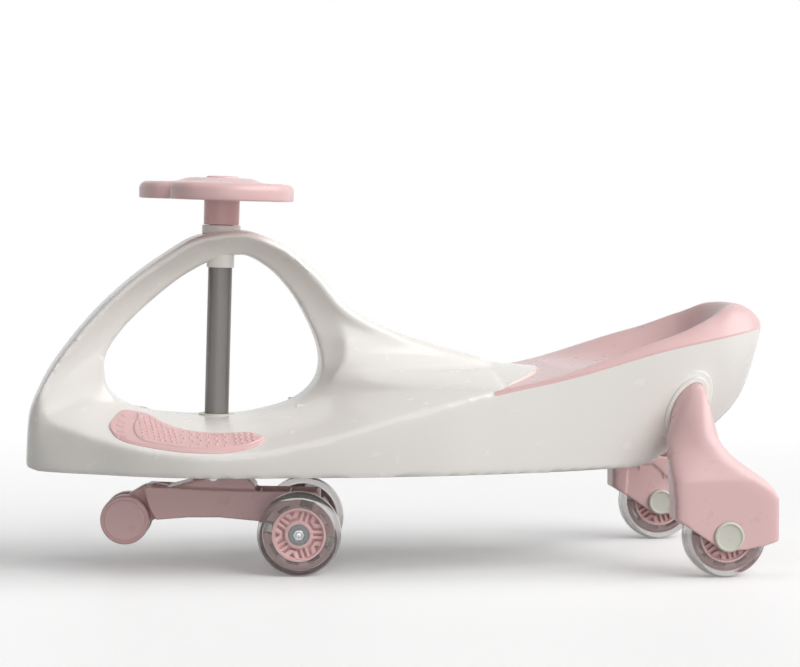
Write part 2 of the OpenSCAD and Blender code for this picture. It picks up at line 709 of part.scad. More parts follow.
module truck() {
    color(pink) difference() {
        union() {
            on_truck() truck_arm();
            on_column() translate([0, 0, tube_low - 6]) cylinder(r = tower_r, h = tower_top - tube_low + 6);
        }
        on_column() translate([0, 0, tube_low]) cylinder(r = tube_r + run_gap, h = tube_top - tube_low);
        on_column() translate([0, 0, tower_top]) cylinder(r = 2 * tower_r, h = tower_r);
        on_steering() translate([0, 0, tower_cross]) rotate([90, 0, 0])
            cylinder(r = bolt_r + run_gap, h = bolt_l, center = true);
        on_truck() {
            translate([front_axle_x, 0, wheel_r]) rotate([90, 0, 0])
                cylinder(r = axle_r + run_gap, h = 2 * front_track, center = true);
            translate([roller_x, 0, roller_z]) rotate([90, 0, 0])
                cylinder(r = pin_r + run_gap, h = 2 * front_track, center = true);
        }
    }
}
bolt_head = 4;
bolt_l = 2 * tower_r + 10;
nut_r = 5.5;
module truck_bolt() {
    color(steel) on_steering() translate([0, 0, tower_cross]) rotate([90, 0, 0]) union() {
        cylinder(r = bolt_r, h = bolt_l, center = true);
        translate([0, 0, tower_r + seat_gap]) cylinder(r = nut_r, h = bolt_head);
    }
}
module truck_nut() {
    color(steel) on_steering() translate([0, 0, tower_cross]) rotate([90, 0, 0])
        translate([0, 0, -tower_r - seat_gap - bolt_head]) difference() {
            cylinder(r = nut_r, h = bolt_head, $fn = 6);
            translate([0, 0, -1]) cylinder(r = bolt_r + run_gap, h = bolt_head + 2);
        }
}

// Front axle with thinner ends and a nut on each, sunk in the wheel's hub
nut_h = 5;
axle_end_r = axle_r - 1;
axle_nut_r = axle_d * 0.72;
axle_out = 2;
bearing_in = 2.5;
front_nut_y = front_y + wheel_w / 2 - bearing_in + side_gap;
module front_axle() {
    color(steel) on_truck() translate([front_axle_x, 0, wheel_r]) rotate([90, 0, 0]) union() {
        cylinder(r = axle_r, h = 2 * front_nut_y, center = true);
        cylinder(r = axle_end_r, h = 2 * (front_nut_y + nut_h + axle_out), center = true);
    }
}
module front_nuts() {
    color(steel) on_truck() for (side = [0, 1])
        mirror([0, side, 0]) translate([front_axle_x, -front_nut_y, wheel_r]) rotate([90, 0, 0])
            difference() {
                cylinder(r = axle_nut_r, h = nut_h, $fn = 6);
                translate([0, 0, -1]) cylinder(r = axle_end_r + run_gap, h = nut_h + 2);
            }
}

// Rollers on their pins
module roller_pins() {
    color(steel) on_truck() for (side = [0, 1])
        mirror([0, side, 0]) translate([roller_x, -(roller_y + roller_w / 2 - 4), roller_z])
            rotate([-90, 0, 0]) cylinder(r = pin_r, h = roller_y + roller_w / 2 - 5);
}
module roller(side) {
    r = roller_d / 2;
    h = roller_w / 2;
    color(pink) on_truck() mirror([0, side > 0 ? 1 : 0, 0]) translate([roller_x, -roller_y, roller_z])
        rotate([90, 0, 0]) difference() {
            rotate_extrude() polygon([
                [0, -h], [r - 3, -h], [r, -h + 3], [r, h - 3], [r - 2, h - 0.5], [r - 3, h - 0.5],
                [r - 3.4, h - 1.3], [r - 4.2, h - 1.3], [r - 4.6, h], [0, h]
            ]);
            translate([0, 0, -h - 1]) cylinder(r = pin_r + run_gap, h = roller_w - 3 + 1);
        }
}

// Running wheels: a clear tyre cast round a slotted core on two bearings
core_r = wheel_r - 15.5;
rim_r = wheel_r - 7;
rim_half = wheel_w / 3;
half_w = wheel_w / 2;
tyre_round = wheel_w / 4;
bearing_r = 11;
bearing_w = 7;
hub_r = bearing_r + 3;
cast_gap = 0.03;
module turned_y() {
    rotate([90, 0, 0]) children();
}
// Outline of the tyre's shoulder, from the side to the tread
shoulder = [[1, 0], [0.45, 0.18], [0.12, 0.55], [0, 1.2]];
module tyre() {
    turned_y() rotate_extrude() polygon(concat(
        [[core_r + cast_gap, -half_w + 1], [core_r + 2, -half_w]],
        [for (q = shoulder) [wheel_r - tyre_round * q[0], -half_w + tyre_round * q[1]]],
        [for (i = [3:-1:0]) [wheel_r - tyre_round * shoulder[i][0], half_w - tyre_round * shoulder[i][1]]],
        [[core_r + 2, half_w], [core_r + cast_gap, half_w - 1]],
        [[core_r + cast_gap, rim_half + cast_gap], [rim_r + cast_gap, rim_half + cast_gap]],
        [[rim_r + cast_gap, -rim_half - cast_gap], [core_r + cast_gap, -rim_half - cast_gap]]
    ));
}
// Face of the core: five straight pockets, five bent ones between them and a small triangle in each bend
spoke_half = wheel_w * 0.36;
web_half = 2.5;
fifth = 72;
slot_w = 2.6;
slot_in = hub_r + 0.6;
slot_out = core_r - 3.6;
bend_at = 7;
bar_at = 11.8;
bar_in = 17;
point_at = 19.2;
module wedge(tip, from, over = 0) {
    far = 2 * core_r;
    grow = tan(fifth / 2);
    translate([0, 0, -over]) linear_extrude(wheel_w + 2 * over)
        polygon([
            [from, -(from - tip) * grow], [far, -(far - tip) * grow],
            [far, (far - tip) * grow], [from, (from - tip) * grow]
        ]);
}
module pockets() {
    for (i = [0:4])
        rotate([0, 0, fifth * i]) {
            translate([slot_in, -slot_w / 2, web_half]) cube([slot_out - slot_in, slot_w, wheel_w]);
            rotate([0, 0, fifth / 2]) translate([0, 0, web_half]) intersection() {
                difference() {
                    cylinder(r = slot_out, h = wheel_w);
                    translate([0, 0, -1]) cylinder(r = slot_in, h = wheel_w + 2);
                }
                union() {
                    difference() {
                        wedge(bend_at, bend_at + 2);
                        wedge(bar_at, bar_in, 1);
                    }
                    wedge(point_at, point_at + 0.4);
                }
            }
        }
}
window_turn = 26;
notch_at = [76, 166, 346];
notch_turn = 22;
window_in = core_r + 1.4;
window_w = 2.8;
module core() {
    turned_y() difference() {
        union() {
            rotate_extrude() polygon([
                [hub_r - 1, -spoke_half], [core_r - 3, -spoke_half], [core_r - 2.2, -half_w],
                [core_r, -half_w], [core_r, -rim_half], [rim_r, -rim_half], [rim_r, rim_half],
                [core_r, rim_half], [core_r, half_w], [core_r - 2.2, half_w], [core_r - 3, spoke_half],
                [hub_r - 1, spoke_half]
            ]);
            cylinder(r = hub_r, h = 2 * (half_w - 1), center = true);
        }
        cylinder(r = bearing_r + cast_gap, h = 3 * wheel_w, center = true);
        for (side = [0, 1]) mirror([0, 0, side]) pockets();
        for (i = [0:7])
            rotate([0, 0, 45 * i + 31 - window_turn / 2]) rotate_extrude(angle = window_turn)
                translate([window_in, -wheel_w]) square([window_w, 2 * wheel_w]);
        for (a = notch_at)
            rotate([0, 0, a - notch_turn / 2]) rotate_extrude(angle = notch_turn)
                translate([window_in + window_w / 2, -wheel_w]) square([rim_r, 2 * wheel_w]);
    }
}
module bearings() {
    turned_y() for (s = [0, 1])
        mirror([0, 0, s]) translate([0, 0, half_w - bearing_in - bearing_w]) difference() {
            cylinder(r = bearing_r, h = bearing_w);
            translate([0, 0, -1]) cylinder(r = axle_r + run_gap, h = bearing_w + 2);
        }
}
module at_front(side) {
    on_truck() translate([front_axle_x, side * front_y, wheel_r]) children();
}
module at_rear(side) {
    translate([rear_axle_x, side * rear_y, wheel_r]) children();
}

// Rear legs: a moulded arm that flows from the socket into a fork with a fender
well_y = half_w + 2.5;
plate_out = 6.5;
plate_in = 5.5;
fork_out = rear_y + well_y + plate_out;
fork_in = rear_y - well_y - plate_in;
well_r = wheel_r + 4;
leg_turns = 24;
// Each row: middle of the section, half length, half width, turn to level, tilt, squareness
leg_rows = [
    [286, -1, 170, 27, 13.5, 0, 60, 2],
    [286, 0, 170, 27, 13.5, 0, 60, 2],
    [285.5, 0.17, 167, 27, 14, 10, 60, 2],
    [284, 0.34, 161, 27, 15.5, 28, 57, 2],
    [283.5, 0.51, 152, 26, 18, 50, 48, 2.1],
    [284, 0.68, 139, 26.5, 21, 71, 30, 2.4],
    [289, 0.84, 124, 32, 23, 86, 10, 2.9],
    [298, 0.95, 110, 41, 24, 90, 2, 3.8],
    [306.5, 1, 98, 48.5, 24.5, 90, 0, 5],
    [312, 1, 86, 53, 24.5, 90, 0, 7],
    [314, 1, 76, 54, 24.5, 90, 0, 8],
    [314, 1, 28, 54, 24.5, 90, 0, 8]
];
leg_half = 24.5;
fork_mid = (fork_out + fork_in) / 2;
fork_half = (fork_out - fork_in) / 2;
function power(v, n) = sign(v) * pow(abs(v), 2 / n);
function leg_section(r) = [
    for (i = [0:leg_turns - 1])
        let (
            a = -i * 360 / leg_turns,
            u = r[3] * power(cos(a), r[7]),
            v = r[4] * mix(1, fork_half / leg_half, r[5] / 90) * power(sin(a), r[7]),
            du = u * cos(r[6]) - v * sin(r[6]),
            dv = u * sin(r[6]) + v * cos(r[6]),
            y = r[1] < 0 ? socket_face - root_depth : mix(socket_face, fork_mid, r[1])
        )
            [
                px(r[0]) + du,
                -y - dv * sin(r[5]),
                (r[2] > 80 ? pz(r[2]) : r[2]) + dv * cos(r[5])
            ]
];
function ground_z(z) = z * wheel_r / 43;
module at_fork(y) {
    translate([rear_axle_x, -y, wheel_r]) children();
}
module leg_left() {
    color(pink) difference() {
        loft([for (r = leg_rows) leg_section(r)]);
        at_rear(-1) turned_y() cylinder(r = well_r, h = 2 * well_y, center = true);
        translate([rear_axle_x - well_r, -rear_y - well_y, -well_r])
            cube([2 * well_r, 2 * well_y, well_r + wheel_r]);
        translate([rear_axle_x, -rear_y, 0]) flat_y(80)
            polygon([
                [-80, -20], [-80, ground_z(62)], [-51, ground_z(59)], [-15, ground_z(35)], [0, ground_z(29)],
                [15, ground_z(29)], [38, ground_z(33)], [80, ground_z(46)], [80, -20]
            ]);
        at_rear(-1) turned_y() cylinder(r = axle_r + run_gap, h = 120, center = true);
        at_fork(fork_out - cap_seat) rotate([90, 0, 0]) cylinder(r = cap_out_r + seat_gap, h = 20);
        at_fork(fork_in + cap_seat) rotate([-90, 0, 0]) cylinder(r = cap_in_r + seat_gap, h = 20);
        for (s = [-1, 1])
            at_leg_screw(s) cylinder(r = pilot_r, h = leg_screw_wall + leg_screw_bite);
        for (a = gusset_at)
            at_fork(fork_in + gusset_deep) rotate([-90, 0, 0]) rotate([0, 0, -a])
                rotate_extrude(angle = gusset_turn) translate([well_r + 4, 0]) square([9, gusset_deep + 20]);
    }
}
gusset_at = [66, 92, 118];
gusset_turn = 22;
gusset_deep = 14;
cap_out_r = 15.5;
cap_in_r = 14;
cap_seat = 2;
cap_h = 5;
module leg(side) {
    mirror([0, side > 0 ? 1 : 0, 0]) leg_left();
}
module rear_axle(side) {
    color(steel) mirror([0, side > 0 ? 1 : 0, 0]) at_fork(fork_in + cap_seat) rotate([90, 0, 0])
        cylinder(r = axle_r, h = fork_out - fork_in - 2 * cap_seat);
}
module hub_cap(r) {
    rotate_extrude() polygon([
        [0, 0], [r, 0], [r, cap_h - 1.4], [r - 1.4, cap_h], [r - 3, cap_h], [r - 3.6, cap_h - 0.6],
        [0, cap_h - 0.6]
    ]);
}
module rear_caps_outer() {
    color(pale_cap) for (side = [0, 1])
        mirror([0, side, 0]) at_fork(fork_out - cap_seat) rotate([90, 0, 0]) hub_cap(cap_out_r);
}
module rear_caps_inner() {
    color(pale_cap) for (side = [0, 1])
        mirror([0, side, 0]) at_fork(fork_in + cap_seat) rotate([-90, 0, 0]) hub_cap(cap_in_r);
}

// Screws: each with its head under the shell and its shank in the piece it holds
module screw(shank) {
    translate([0, 0, -screw_head_h]) cylinder(r = screw_head_r, h = screw_head_h);
    cylinder(r = screw_r, h = shank);
}
module leg_screws() {
    color(steel) for (side = [0, 1], s = [-1, 1])
        mirror([0, side, 0]) at_leg_screw(s) screw(leg_screw_wall + leg_screw_bite);
}
module seat_screws() {
    color(steel) for (side = [0, 1], p = seat_screw_at)
        mirror([0, side, 0]) at_seat_screw(p) screw(seat_screw_grip + seat_screw_bite);
}

body_shell();
seat();
foot_pad(-1);  // foot_pad_left
foot_pad(1);  // foot_pad_right
upper_bush();
lower_bush();
leg(-1);  // leg_left
leg(1);  // leg_right
rear_axle(-1);  // rear_axle_left
rear_axle(1);  // rear_axle_right
rear_caps_outer();
rear_caps_inner();
leg_screws();
seat_screws();
steering_wheel();
steering_cap();
column_tube();
neck_screw();
thrust_washer();
truck();
truck_bolt();
truck_nut();
front_axle();
front_nuts();
roller_pins();
roller(-1);  // roller_left
roller(1);  // roller_right
color(clear_grey) at_front(-1) tyre();  // front_left_tyre
color(pink) at_front(-1) core();  // front_left_core
color(steel) at_front(-1) bearings();  // front_left_bearings
color(clear_grey) at_front(1) tyre();  // front_right_tyre
color(pink) at_front(1) core();  // front_right_core
color(steel) at_front(1) bearings();  // front_right_bearings
color(clear_grey) at_rear(-1) tyre();  // rear_left_tyre
color(pink) at_rear(-1) core();  // rear_left_core
color(steel) at_rear(-1) bearings();  // rear_left_bearings
color(clear_grey) at_rear(1) tyre();  // rear_right_tyre
color(pink) at_rear(1) core();  // rear_right_core
color(steel) at_rear(1) bearings();  // rear_right_bearings
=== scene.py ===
import json
import math

import bpy
import numpy as np
from bpy.props import FloatProperty, FloatVectorProperty, PointerProperty
from mathutils import Matrix, Vector


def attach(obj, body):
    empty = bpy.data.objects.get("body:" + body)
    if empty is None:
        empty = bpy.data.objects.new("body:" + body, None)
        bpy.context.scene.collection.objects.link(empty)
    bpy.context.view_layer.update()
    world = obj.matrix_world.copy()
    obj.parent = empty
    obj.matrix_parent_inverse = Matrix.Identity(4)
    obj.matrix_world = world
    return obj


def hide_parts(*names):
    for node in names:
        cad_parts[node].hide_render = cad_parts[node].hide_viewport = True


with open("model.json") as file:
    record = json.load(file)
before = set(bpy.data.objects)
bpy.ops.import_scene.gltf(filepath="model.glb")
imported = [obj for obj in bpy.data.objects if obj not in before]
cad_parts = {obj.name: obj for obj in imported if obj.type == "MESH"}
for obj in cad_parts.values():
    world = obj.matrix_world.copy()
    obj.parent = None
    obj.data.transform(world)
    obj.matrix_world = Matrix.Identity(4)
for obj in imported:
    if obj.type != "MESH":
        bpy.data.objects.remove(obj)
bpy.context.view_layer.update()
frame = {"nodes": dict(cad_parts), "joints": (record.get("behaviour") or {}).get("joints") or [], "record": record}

bl_info = {
    "name": "Wiggle Car",
    "version": (1, 0, 0),
    "blender": (4, 5, 0),
    "location": "View3D > Sidebar > Wiggle Car",
    "description": "Models the moulded pieces and finishes of a ride-on wiggle car around its frame",
    "category": "Object",
}

NODES = frame["nodes"]
JOINTS = {j["name"]: j for j in frame["joints"]}
MM = 0.001
SIDES = ((-1, "left"), (1, "right"))
ACROSS = Matrix.Diagonal((1, -1, 1, 1))

# Steering: a point on the column's axis, its lean and the angle at which the steering is stored
AXIS_POINT = np.array(JOINTS["steering_turn"]["pos_m"]) / MM
AXIS_DIR, AXLE_DIR = JOINTS["steering_turn"]["axis"], JOINTS["front_left_spin"]["axis"]
LEAN = math.atan2(AXIS_DIR[0], AXIS_DIR[2])
STEER_TURN = math.atan2(AXLE_DIR[0], AXLE_DIR[1])


class Line:
    """A smooth curve through a few points, without overshoot."""

    def __init__(self, points):
        p = np.array(points, float)
        self.x, self.y = p[:, 0], p[:, 1]
        g = np.diff(self.y) / np.diff(self.x)
        self.m = np.concatenate([[g[0]], [blend_grade(a, b) for a, b in zip(g[:-1], g[1:])], [g[-1]]])

    def __call__(self, x):
        x = np.asarray(x, float)
        i = np.clip(np.searchsorted(self.x, x, "right") - 1, 0, len(self.x) - 2)
        h = self.x[i + 1] - self.x[i]
        t = np.clip((x - self.x[i]) / h, 0, 1)
        return hermite(self.y[i], self.y[i + 1], h * self.m[i], h * self.m[i + 1], t)


def blend_grade(a, b):
    """The grade at a point between two spans, level at a turning point."""
    return 0.0 if a * b <= 0 else 2 * a * b / (a + b)


def hermite(a, b, da, db, t):
    return (a * (1 + 2 * t) * (1 - t) ** 2 + b * t * t * (3 - 2 * t)
            + da * t * (1 - t) ** 2 - db * t * t * (1 - t))


def mix(a, b, t):
    return a + (b - a) * t


def ease(t):
    u = np.clip(t, 0, 1)
    return u * u * (3 - 2 * u)


# The body's lines, in millimetres along the car
SIDE = Line([
    (-388, 8), (-378, 32), (-356, 52), (-322, 74), (-268, 108), (-212, 128), (-125, 138), (-50, 142),
    (20, 139.5), (90, 129), (150, 118.5), (200, 112), (255, 106), (325, 90), (368, 58), (384, 28), (388, 8)])
CREASE = Line([
    (-388, 178), (-373, 169), (-363, 156), (-340, 148), (-314, 140), (-281, 133), (-250, 129.2), (-216, 128),
    (-190, 128), (-160, 130), (-130, 136), (-103, 141.8), (-17, 166), (80, 189), (189, 208.5), (264, 227.2),
    (339, 240.7), (388, 248)])
LOWER = Line([
    (-388, 105), (140, 105), (234, 108), (270, 122), (321, 145), (358, 175), (378, 216), (388, 245)])
TURN_IN = Line([(-388, 0.975), (150, 0.975), (230, 0.93), (270, 0.86), (340, 0.66), (388, 0.5)])
SILL = Line([
    (-305, 175), (-299, 172.5), (-290, 170.3), (-281, 167.6), (-270, 165), (-245, 160.5), (-200, 158),
    (-165, 159), (-140, 163)])
DOME = Line([
    (-305, 2), (-290, 3.6), (-281, 4.1), (-270, 5.2), (-260, 5.8), (-245, 6.1), (-225, 5.7), (-205, 6),
    (-160, 6.6), (-140, 6.6)])
TOP = Line([(86, 212), (125, 208), (150, 206), (189, 210), (264, 228), (339, 241), (388, 248)])
ROOF = Line([
    (-352, 120), (-340, 144), (-300, 155), (-282, 157), (-245, 153), (-165, 152), (-118, 158), (-60, 176),
    (0, 188), (90, 190), (240, 188), (272, 170), (292, 150)])
# Wall, sill and strap measures, the end of the front form and the usual place of a ray's shoulder
WALL, SILL_Y, SILL_LIP, EDGE_Y, CROWN = 4.5, 28, 1, 31, 1.5
JOIN_X, PLAIN_AT = 90, 0.3


def low_ray(hole, x_crease, x_low, swell, dome=0, bump=0, bump_at=PLAIN_AT):
    """Hole edge, crease and lower edge of the platform, then its swell, shoulder and dome."""
    return [*hole, x_crease, float(CREASE(x_crease)), float(SIDE(x_crease)),
            x_low, float(LOWER(x_low)), float(SIDE(x_low) * TURN_IN(x_low)), swell, 0, bump, bump_at, dome]


def strap_ray(hole, edge, outer, swell, bump=0, bump_at=PLAIN_AT):
    """Hole edge, flank edge and outer face of the arch strap, then its swell and shoulder."""
    return [*hole, *edge, *outer, swell, CROWN, bump, bump_at, 0]


def hood_ray(hole, edge, outer, swell, bump, bump_at):
    """Hole edge and the two ends of the hood where the rear form takes over."""
    return [*hole, JOIN_X, *edge, JOIN_X, *outer, swell, 0, bump, bump_at, 0]


RAYS = np.array([
    low_ray((-200, 158, 26), -212, -212, 0, 6.5),
    low_ray((-245, 160.5, 27), -268, -266, 0, 7.5),
    low_ray((-281, 168.5, 29), -322, -320, 0, 6.5),
    low_ray((-299.5, 181, 30), -355, -356, 0, 3.5),
    low_ray((-307.5, 195, 29), -367, -378, 0),
    strap_ray((-309, 212, 28), (-372, 176, 41), (-388, 110, 14), 0),
    strap_ray((-308, 219.5, 27), (-372, 191, 41), (-385, 158, 25), -1),
    strap_ray((-305, 228, 25), (-363, 206, 40), (-369, 199, EDGE_Y), -2),
    strap_ray((-290, 249.5, 21), (-335, 241, 39), (-339, 242, EDGE_Y), -3),
    strap_ray((-258, 280, 17), (-298, 280, 38), (-302, 282, EDGE_Y), -3),
    strap_ray((-222, 307, 14), (-252, 316, 38), (-254, 320, EDGE_Y), -3),
    strap_ray((-188, 323, 13), (-206, 341, 38), (-206, 346, EDGE_Y), -3),
    strap_ray((-165, 326, 13), (-168, 345, 38), (-168, 350, EDGE_Y), -3),
    strap_ray((-140, 314.5, 14), (-131, 333, 37), (-127, 337, 30), -3),
    strap_ray((-116, 290.5, 16), (-94, 304, 36), (-90, 308, 29), -3),
    strap_ray((-96, 257, 18), (-60, 266, 36), (-55, 270, 28), -2, 0, 0.6),
    strap_ray((-86.5, 234, 20), (-10, 241, 34), (-8, 245, 26), 3, 9, 0.34),
    strap_ray((-83.5, 221, 22), (40, 224, 33), (42, 228, 24), 8, 11, 0.18),
    hood_ray((-83, 212, 24), (209, 30), (212, 20), 20, 10, 0.11),
    hood_ray((-84, 204, 25), (204, 58), (190, 30), 22, 8, 0.08),
    hood_ray((-86, 197, 26), (198, 92), (160, 50), 22, 5, 0.07),
    low_ray((-89.5, 190.5, 27), JOIN_X, JOIN_X, 14, 0, 2, 0.07),
    low_ray((-97, 182, 28), 20, 20, 4, 1.5, 0, 0.1),
    low_ray((-112, 172, 29), -50, -55, 0, 5, 0, 0.2),
    low_ray((-138, 163.5, 28), -125, -125, 0, 6.5),
    low_ray((-168, 158.5, 27), -168, -168, 0, 6.5),
], float)

# Seat lines
TONGUE_X, SEAT_TIP_X, SEAT_END_X, TONGUE_POWER = 147, 80, 387, 1.8
SEAT_T = 5
EDGE_UP = Line([(80, 0.4), (160, 0.8), (260, 2), (388, 2)])
CREST_IN = Line([(80, 6), (180, 9), (260, 14), (310, 22), (340, 34), (388, 34)])
CREST_UP = Line([(80, 0.5), (130, 1), (160, 2.5), (200, 6), (270, 10), (320, 20), (345, 27), (388, 27)])
PAN = Line([(80, 189), (147, 205), (200, 211), (260, 217), (300, 223), (345, 240), (388, 246)])
BOWL_W = Line([(80, 40), (180, 38), (260, 36), (320, 32), (388, 28)])

# Foot pad outlines
PAD_INNER = Line([
    (-305, 63), (-299, 51), (-290, 38), (-280, 34), (-269, 35), (-262, 41), (-251, 57), (-238, 70),
    (-222, 79), (-199, 87), (-182, 89), (-165, 92), (-156, 100), (-150.5, 109)])
PAD_OUTER = Line([
    (-305, 66), (-300.5, 77), (-291.5, 87), (-280, 95), (-269, 101), (-251, 109.5), (-230, 118.5),
    (-202, 125), (-185, 126), (-173, 125.5), (-159, 121), (-152, 115), (-150.5, 112)])


def deselect():
    """Nothing selected or active, so that an operator acts only on its own piece."""
    for o in list(bpy.context.selected_objects):
        o.select_set(False)
    bpy.context.view_layer.objects.active = None


def choose(*objs):
    deselect()
    for o in objs:
        o.select_set(True)
    bpy.context.view_layer.objects.active = objs[0]


def edit(obj, *steps):
    """Runs edit-mode steps on the whole mesh of a piece."""
    choose(obj)
    bpy.ops.object.mode_set(mode="EDIT")
    for step in steps:
        bpy.ops.mesh.select_all(action="SELECT")
        step()
    bpy.ops.object.mode_set(mode="OBJECT")


def outward(obj):
    edit(obj, lambda: bpy.ops.mesh.remove_doubles(threshold=1e-6),
         lambda: bpy.ops.mesh.normals_make_consistent(inside=False))
    return obj


def link(name, data):
    """A new object in the scene, at the origin."""
    obj = bpy.data.objects.new(name, data)
    bpy.context.scene.collection.objects.link(obj)
    return obj


def new_piece(name, points, faces):
    """A mesh from points in millimetres, with its faces turned outwards."""
    mesh = bpy.data.meshes.new(name)
    mesh.from_pydata([tuple(p) for p in np.asarray(points, float) * MM], [],
                     [tuple(int(i) for i in f) for f in faces])
    return outward(link(name, mesh))


def grid_faces(n, k, around=True, closed=False):
    """Faces between n rows of k points."""
    return [(i * k + j, i * k + (j + 1) % k, (i + 1) % n * k + (j + 1) % k, (i + 1) % n * k + j)
            for i in range(n if closed else n - 1) for j in range(k if around else k - 1)]


def loft(name, sections, closed=False):
    """A skin through sections of equal length, with end caps unless it closes on itself."""
    s = np.asarray(sections, float)
    n, k = s.shape[:2]
    faces = grid_faces(n, k, True, closed)
    if not closed:
        faces += [tuple(range(k - 1, -1, -1)), tuple(range((n - 1) * k, n * k))]
    return new_piece(name, s.reshape(-1, 3), faces)


def sheet(name, upper, lower):
    """A solid between an upper and a lower grid of points."""
    n, k = upper.shape[:2]
    m = n * k
    faces = grid_faces(n, k, False) + [tuple(m + i for i in reversed(f)) for f in grid_faces(n, k, False)]
    rim = [*range(k), *range(2 * k - 1, m, k), *range(m - 2, m - k - 1, -1), *range(m - 2 * k, 0, -k)]
    for a, b in zip(rim, rim[1:] + rim[:1]):
        faces.append((a, b, m + b, m + a))
    return new_piece(name, np.concatenate([upper.reshape(-1, 3), lower.reshape(-1, 3)]), faces)


def modify(obj, kind, **settings):
    """Adds one modifier and applies it."""
    choose(obj)
    mod = obj.modifiers.new(kind.title(), kind)
    for key, value in settings.items():
        setattr(mod, key, value)
    bpy.ops.object.modifier_apply(modifier=mod.name)
    return obj


def rounded(obj, width, segments, angle):
    """Rounds the edges sharper than an angle by a width in millimetres."""
    return modify(obj, "BEVEL", width=width * MM, segments=segments, limit_method="ANGLE",
                  angle_limit=math.radians(angle))


def cut(obj, *cutters):
    for c in cutters:
        modify(obj, "BOOLEAN", operation="DIFFERENCE", object=c, solver="EXACT")
        bpy.data.objects.remove(c)
    return obj


def join(obj, *others):
    choose(obj, *others)
    bpy.ops.object.join()
    return obj


def skinned(obj, voxel, rounds):
    """One even skin over all that the piece is made of, then smoothed."""
    modify(obj, "REMESH", mode="VOXEL", voxel_size=voxel, adaptivity=0.0)
    return modify(obj, "SMOOTH", factor=0.5, iterations=rounds)


def node_copy(name, node):
    """A new piece with its own copy of a frame node's mesh, its corners merged."""
    obj = link(name, NODES[node].data.copy())
    obj.data.materials.clear()
    edit(obj, lambda: bpy.ops.mesh.customdata_custom_splitnormals_clear(),
         lambda: bpy.ops.mesh.remove_doubles(threshold=2e-6))
    return obj


def eased(name, node, width):
    """A copy of a frame node with its flat faces made whole and its edges rounded."""
    obj = node_copy(name, node)
    edit(obj, lambda: bpy.ops.mesh.dissolve_limited(angle_limit=math.radians(0.5)))
    return rounded(obj, width, 2, 38)


def prism(name, outline, y_low, y_high):
    """A block of the side outline (x, z) from one y to another."""
    return loft(name, [[(x, y, z) for x, z in outline] for y in (y_low, y_high)])


def mirrored(obj, name):
    """The same piece on the other side of the car."""
    other = link(name, obj.data.copy())
    other.data.name = name
    other.data.transform(ACROSS)
    return outward(other)


def cylinder(name, radius, low, high, matrix=None, sides=96):
    """A rod along Z from low to high in millimetres, then put in place by a matrix."""
    deselect()
    bpy.ops.mesh.primitive_cylinder_add(vertices=sides, radius=radius * MM, depth=(high - low) * MM,
                                        location=(0, 0, (low + high) / 2 * MM))
    obj = bpy.context.object
    obj.name = obj.data.name = name
    choose(obj)
    bpy.ops.object.transform_apply(location=True, rotation=True, scale=True)
    if matrix is not None:
        obj.data.transform(matrix)
    return obj


def turned(name, profile, matrix=None, steps=96, closed=True):
    """A ring or disc turned about Z from a profile of (radius, height) in millimetres."""
    n = len(profile)
    mesh = bpy.data.meshes.new(name)
    edges = [(i, i + 1) for i in range(n - 1)] + ([(n - 1, 0)] if closed else [])
    mesh.from_pydata([(r * MM, 0, z * MM) for r, z in profile], edges, [])
    obj = link(name, mesh)
    edit(obj, lambda: bpy.ops.mesh.spin(steps=steps, angle=2 * math.pi, center=(0, 0, 0), axis=(0, 0, 1)))
    outward(obj)
    if matrix is not None:
        obj.data.transform(matrix)
    return obj


def at_point(x, y, z):
    return Matrix.Translation((x * MM, y * MM, z * MM))


def on_column():
    """The column's place, with Z along it."""
    return at_point(*AXIS_POINT) @ Matrix.Rotation(LEAN, 4, "Y")


def along_y(sign):
    """Z turned to the car's right, or to its left."""
    return Matrix.Rotation(-sign * math.pi / 2, 4, "X")


def on_spin(joint, outward_sign):
    """The place of a wheel or roller, with Z along its axle and away from the car."""
    axis = Vector(JOINTS[joint]["axis"]) * outward_sign
    return Matrix.Translation(JOINTS[joint]["pos_m"]) @ axis.to_track_quat("Z", "Y").to_matrix().to_4x4()


def dress(obj, key):
    """Gives a piece or a frame node its finish."""
    obj.data.materials.clear()
    obj.data.materials.append(material(key))


def finish_piece(obj, body, slot, node, angle=35, look=None):
    """Gives a piece smooth shading, the finish of its slot or of a given look, and its body, and hides the frame
    node that it stands for.
    """
    choose(obj)
    bpy.ops.object.shade_smooth_by_angle(angle=math.radians(angle))
    dress(obj, look or SLOTS[slot])
    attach(obj, body)
    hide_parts(node)


def add_node(tree, kind, *values, settings=(), **named):
    """A new shader node, each input set to a value or linked to an output."""
    node = tree.nodes.new("ShaderNode" + kind)
    for key, value in dict(settings).items():
        setattr(node, key, value)
    for key, value in (*enumerate(values), *named.items()):
        socket = node.inputs[key if isinstance(key, int) else key.replace("_", " ")]
        if isinstance(value, bpy.types.NodeSocket):
            tree.links.new(value, socket)
        else:
            socket.default_value = value
    return node


def math_node(tree, operation, a, b):
    return add_node(tree, "Math", a, b, settings={"operation": operation}).outputs[0]


